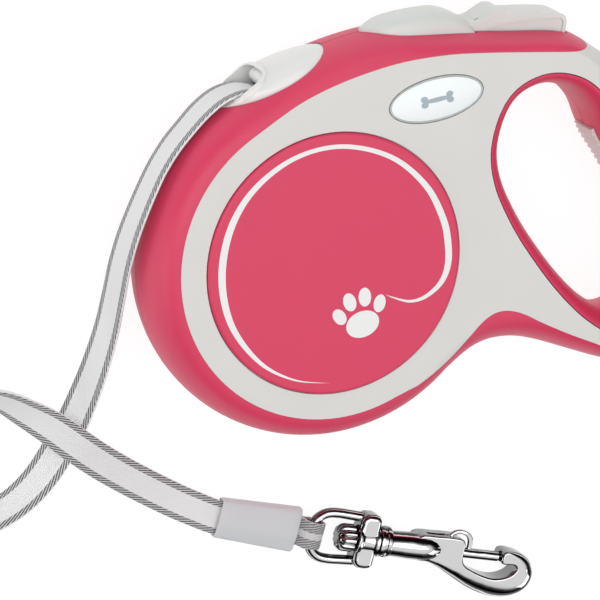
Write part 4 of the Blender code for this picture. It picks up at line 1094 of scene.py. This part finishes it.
def tape_end():
    """The ridged sleeve round the stitched end, and the gathered loop that holds the swivel."""
    bar = hook_point(EYE_PIVOT_U, 0.0)
    along = (bar - SLEEVE_START).to_2d().normalized()
    across = Vector((-along.y, along.x, 0.0))

    def placed(s, v, z):
        """Point s along the sleeve's axis, v across it, at height z."""
        flat = SLEEVE_START.to_2d() + along * s
        return Vector((flat.x, flat.y, z)) + across * v

    half_height = SLEEVE_HEIGHT / 2
    contour = SLEEVE_TOP + [(1.0, 0.0)] + [(v, -0.86 * z) for v, z in SLEEVE_TOP[:0:-1]]
    inner_half = TAPE_WIDTH / 2 + GAP

    def ring(s, shrink):
        """Outer ring of the sleeve at s, pulled in by shrink millimetres."""
        share = s / SLEEVE_LENGTH
        half = (SLEEVE_WIDTHS[0] + (SLEEVE_WIDTHS[1] - SLEEVE_WIDTHS[0]) * share) / 2
        slump = 0.12 * math.sin(3.0 * share * math.pi)
        return [placed(s, v * (half - shrink), SLEEVE_START.z + z * (half_height - shrink)
                       + slump * v * z) for v, z in contour]

    def bore(s, grow):
        """Inner ring of the sleeve at s."""
        points = []
        for v, z in contour:
            w = math.copysign(min(abs(v) * 1.02, 1.0), v)
            points.append(placed(s, w * (inner_half + grow),
                                 SLEEVE_START.z + math.copysign(min(abs(z) * 4, 1.0), z)
                                 * (1.8 + grow)))
        return points

    end = SLEEVE_LENGTH
    rings = [bore(0.5, 0.0), bore(0.0, 0.12), ring(0.0, 0.35), ring(0.2, 0.1), ring(0.5, 0.0)]
    rings += [ring(0.5 + (end - 1.0) * k / 12, 0.0) for k in range(1, 12)]
    rings += [ring(end - 0.5, 0.0), ring(end - 0.2, 0.1), ring(end, 0.35), bore(end, 0.12),
              bore(end - 0.5, 0.0)]
    sleeve = looped("stitched_end_sleeve", rings, 50)
    settle(sleeve, "housing", "sleeve_grey", "tape_sleeve")

    reach = (bar - SLEEVE_START).to_2d().length
    radius = EYE_BAR_REACH + GAP + LOOP_THICKNESS / 2
    middle = [(14.0, SLEEVE_START.z + 0.9), (22.0, SLEEVE_START.z + 0.9),
              (28.1, SLEEVE_START.z + 0.85)]
    turn_steps = 8
    for k in range(turn_steps + 1):
        t = math.radians(135 - 270 * k / turn_steps)
        middle.append((reach + radius * math.cos(t), bar.z + radius * math.sin(t)))
    middle += [(28.1, SLEEVE_START.z - 0.85),
               (22.0, SLEEVE_START.z - 0.9), (14.0, SLEEVE_START.z - 0.9)]
    middle = smooth(middle, 5)
    normals = inward_normals(middle, closed=False)
    places = []
    for (s, z), n in zip(middle, normals):
        spread = 1.0 + 0.10 * max(0.0, min(1.0, (reach - s) / 6.0))
        outward = along.to_3d() * -n.x + Vector((0, 0, -n.y))
        places.append((placed(s, 0.0, z), across, outward * -1, spread))
    loop_piece, _ = strip("stitched_tape_loop", places, LOOP_WIDTH, LOOP_THICKNESS)
    settle(loop_piece, "housing", "woven_tape", "tape_end_loop", material="woven_loop")
    return sleeve, loop_piece


# ---- swivel and snap hook ---------------------------------------------------------------------
def on_hook(thing):
    """Place a piece drawn about the hook's own axis: u along the hook, v across, w up."""
    turn = Matrix.Rotation(math.radians(HOOK_ANGLE), 4, "Z")
    thing.data.transform(Matrix.Translation(HOOK_AXIS * MM) @ turn)
    return thing


def turned_on_axis(name, profile, segments=48, flutes=0, flute_depth=0.0, v=0.0):
    """Solid turned about a line along u: profile holds (u, radius)."""
    rings = []
    for u, radius in profile:
        ring = []
        for t in turns(segments):
            r = radius - flute_depth * (0.5 + 0.5 * math.cos(flutes * t)) ** 3
            ring.append((u, v + r * math.cos(t), r * math.sin(t)))
        rings.append(ring)
    return loft(name, rings, sharp_angle=32)


def tube(name, path, radius, sides, flat):
    """Closed round bar along a closed path of (u, v) points, flat times as high as wide."""
    rings = [[(u + n.x * radius * math.cos(t), v + n.y * radius * math.cos(t),
               radius * flat * math.sin(t)) for t in turns(sides)]
             for (u, v), n in zip(path, inward_normals(path))]
    return looped(name, rings, 60)


def other_half(points):
    """The points of one side, seen in a mirror along the hook's axis and in reverse."""
    return [(u, -v) for u, v in reversed(points)]


def swivel_eye():
    """Bow of round bar, its cross yoke, and the barrel that the hook's post turns in."""
    arm = [(-7.0, 7.5), (-11.0, 7.7), (-15.4, 7.9), (-18.8, 7.6), (-21.2, 6.5), (-23.0, 4.6),
           (-23.7, 2.3)]
    bow = smooth(arm + [(-23.8, 0.0)] + other_half(arm), 4)
    path = [(-4.2, -7.4), (-4.2, 0.0), (-4.2, 7.4)] + bow
    eye = tube("swivel_bow", path, 1.65, 20, 1.08)
    side = [(-0.6, 7.6), (-1.6, 8.9), (-3.2, 9.3), (-5.6, 9.2), (-7.4, 8.5), (-8.1, 6.4)]
    yoke = prism("yoke", side + other_half(side), -3.9, 3.9)
    bake(round_edges(yoke, 1.8, 6, 50))
    combine(eye, yoke, "UNION")
    barrel = turned_on_axis("barrel", [
        (-8.1, 4.3), (-8.1, 4.9), (-7.8, 5.2), (-6.7, 5.2), (-6.4, 4.7), (-5.7, 4.55),
        (-2.6, 4.55), (-1.9, 4.7), (-1.6, 5.2), (-0.6, 5.2), (-0.3, 4.9), (-0.3, 4.3),
    ])
    combine(eye, barrel, "UNION")
    bore = turned_on_axis("bore", [(-20.0, POST_RADIUS + GAP), (3.0, POST_RADIUS + GAP)], 32)
    combine(eye, bore, "DIFFERENCE")
    shaded(eye.data, 38)
    flat_faces(eye)
    on_hook(eye)
    eye.name = "swivel_eye_ring"
    settle(eye, "swivel_eye", "chrome", "swivel_eye")
    return eye


def snap_hook():
    """Hook forged from one bar: collar, tapering shank, flat blade, round-backed bowl."""
    outline = smooth(HOOK_OUTLINE[::-1], 4, closed=True)
    normals = inward_normals(outline)
    half = HOOK_HALF_THICKNESS
    wanted = []
    for u, v in outline:
        wanted.append(3.0 + 3.4 * math.exp(-((u - 45.0) / 11.0) ** 2) if v < outer_line(u) else 0.7)
    insets = []
    for k in range(len(wanted)):
        near = [wanted[(k + j) % len(wanted)] for j in range(-EDGE_BLEND, EDGE_BLEND + 1)]
        insets.append(sum(near) / len(near))
    rings = []
    lows = [min(i, 1.2) for i in insets]    # the underside is only eased
    levels = [(1.03, 1.0)] + [(1 - math.sin(t), math.cos(t)) for t in quarter(7)]
    for share, height in levels:            # from the rim of the underside out to the side
        rings.append([(u + n.x * low * share, v + n.y * low * share, -half + low * (1 - height))
                      for (u, v), n, low in zip(outline, normals, lows)])
    for share, height in reversed(levels):  # and over the rounded back to the flat face
        rings.append([(u + n.x * i * share, v + n.y * i * share,
                       half - min(1.05 * i, BACK_DEPTH) * (1 - height))
                      for (u, v), n, i in zip(outline, normals, insets)])
    hook = loft("hook_blade", rings, sharp_angle=30)
    hook.data.transform(Matrix.Translation((0, 0, -1.1 * MM)))
    shank = turned_on_axis("shank", [
        (2.0, 4.2), (4.0, 4.25), (7.0, 4.3), (11.0, 4.5), (16.0, 4.6), (18.4, 4.45), (20.6, 3.9),
        (22.6, 2.9),
    ], v=SHANK_V)
    combine(hook, shank, "UNION")
    collar = turned_on_axis("collar", [
        (0.1, 4.2), (0.1, 5.0), (0.4, 5.2), (1.4, 5.2), (1.7, 4.9), (2.3, 4.9), (2.6, 5.2),
        (3.7, 5.2), (4.1, 5.0), (4.2, 4.4),
    ])
    combine(hook, collar, "UNION")
    post = turned_on_axis("post", [(-10.0, POST_RADIUS), (2.0, POST_RADIUS)], 32)
    combine(hook, post, "UNION")
    head = turned_on_axis("head", [
        (-14.6, 1.4), (-14.5, 2.6), (-14.0, 3.7), (-13.0, 4.4), (-12.0, 4.6), (-9.0, 4.6),
        (-8.5, 4.2),
    ], 96, 10, 0.7)
    combine(hook, head, "UNION")
    bore = turned_on_axis("bore", [(u, GATE_RADIUS + GAP) for u in (9.6, 49.6)], 32, v=GATE_V)
    combine(hook, bore, "DIFFERENCE")
    slot = block("slot", (GATE_SLOT_U, GATE_V, -GATE_SLOT_HALF), (40.0, 10.0, GATE_SLOT_HALF))
    combine(hook, slot, "DIFFERENCE")
    shaded(hook.data, 34)
    flat_faces(hook)
    on_hook(hook)
    hook.name = "bolt_snap_hook"
    settle(hook, "snap_hook", "chrome", "snap_hook")

    gate = turned_on_axis("bolt", [(22.4, 1.2), (22.7, GATE_RADIUS), (44.9, GATE_RADIUS),
                                   (45.5, 1.2)], 32, v=GATE_V)
    arch = smooth([(25.1, -0.4), (25.2, 2.4), (25.8, 4.8), (27.6, 6.4), (30.2, 6.9), (32.8, 6.2),
                   (34.4, 4.6), (34.8, 2.4), (34.7, -0.4)], 4)
    arch += smooth([(33.1, -0.4), (33.2, 2.4), (32.6, 4.2), (31.4, 5.2), (29.6, 5.5), (27.9, 5.1),
                    (26.9, 4.0), (26.7, 2.4), (26.7, -0.4)], 4)
    stud = bake(round_edges(prism("stud", arch, -0.7, 0.7), 0.4, 3, 50))
    combine(gate, stud, "UNION")
    shaded(gate.data, 40)
    on_hook(gate)
    gate.name = "gate_bolt"
    settle(gate, "hook_gate", "chrome", "hook_gate")
    return hook, gate


def outer_line(u):
    """Height v under which the hook's outline is its outer, rounded side."""
    return (-5.2 if u < 33 else (-9.0 if u < 54 else 1.4)) if u > 22 else -20.0


# ---- what is inside ---------------------------------------------------------------------------
def inner_pieces():
    """Node materials for the CAD solids that are carried over as they are."""
    screws = [f"case_screw_{number}" for number in range(1, len(SCREW_PLACES) + 1)]
    for finish, names in (
        ("inner_plastic", ["reel", "reel_ratchet", "brake_carriage"]),
        ("wound_tape", ["wound_tape", "tape_lead"]),
        ("steel", ["power_spring", "reel_axle", "axle_screw", "brake_spring", "gate_spring"]),
        ("steel", screws),
    ):
        for name in names:
            dressed(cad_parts[name], finish)


camera_and_stage()
tape_piece, tape_length, tape_path = free_tape()
sleeve_piece, loop_piece = tape_end()
eye_piece = swivel_eye()
hook_piece, gate_piece = snap_hook()
frames_and_bands()
finger_lining()
side_discs()
badge()
tape_outlet()
brake_pieces()
inner_pieces()
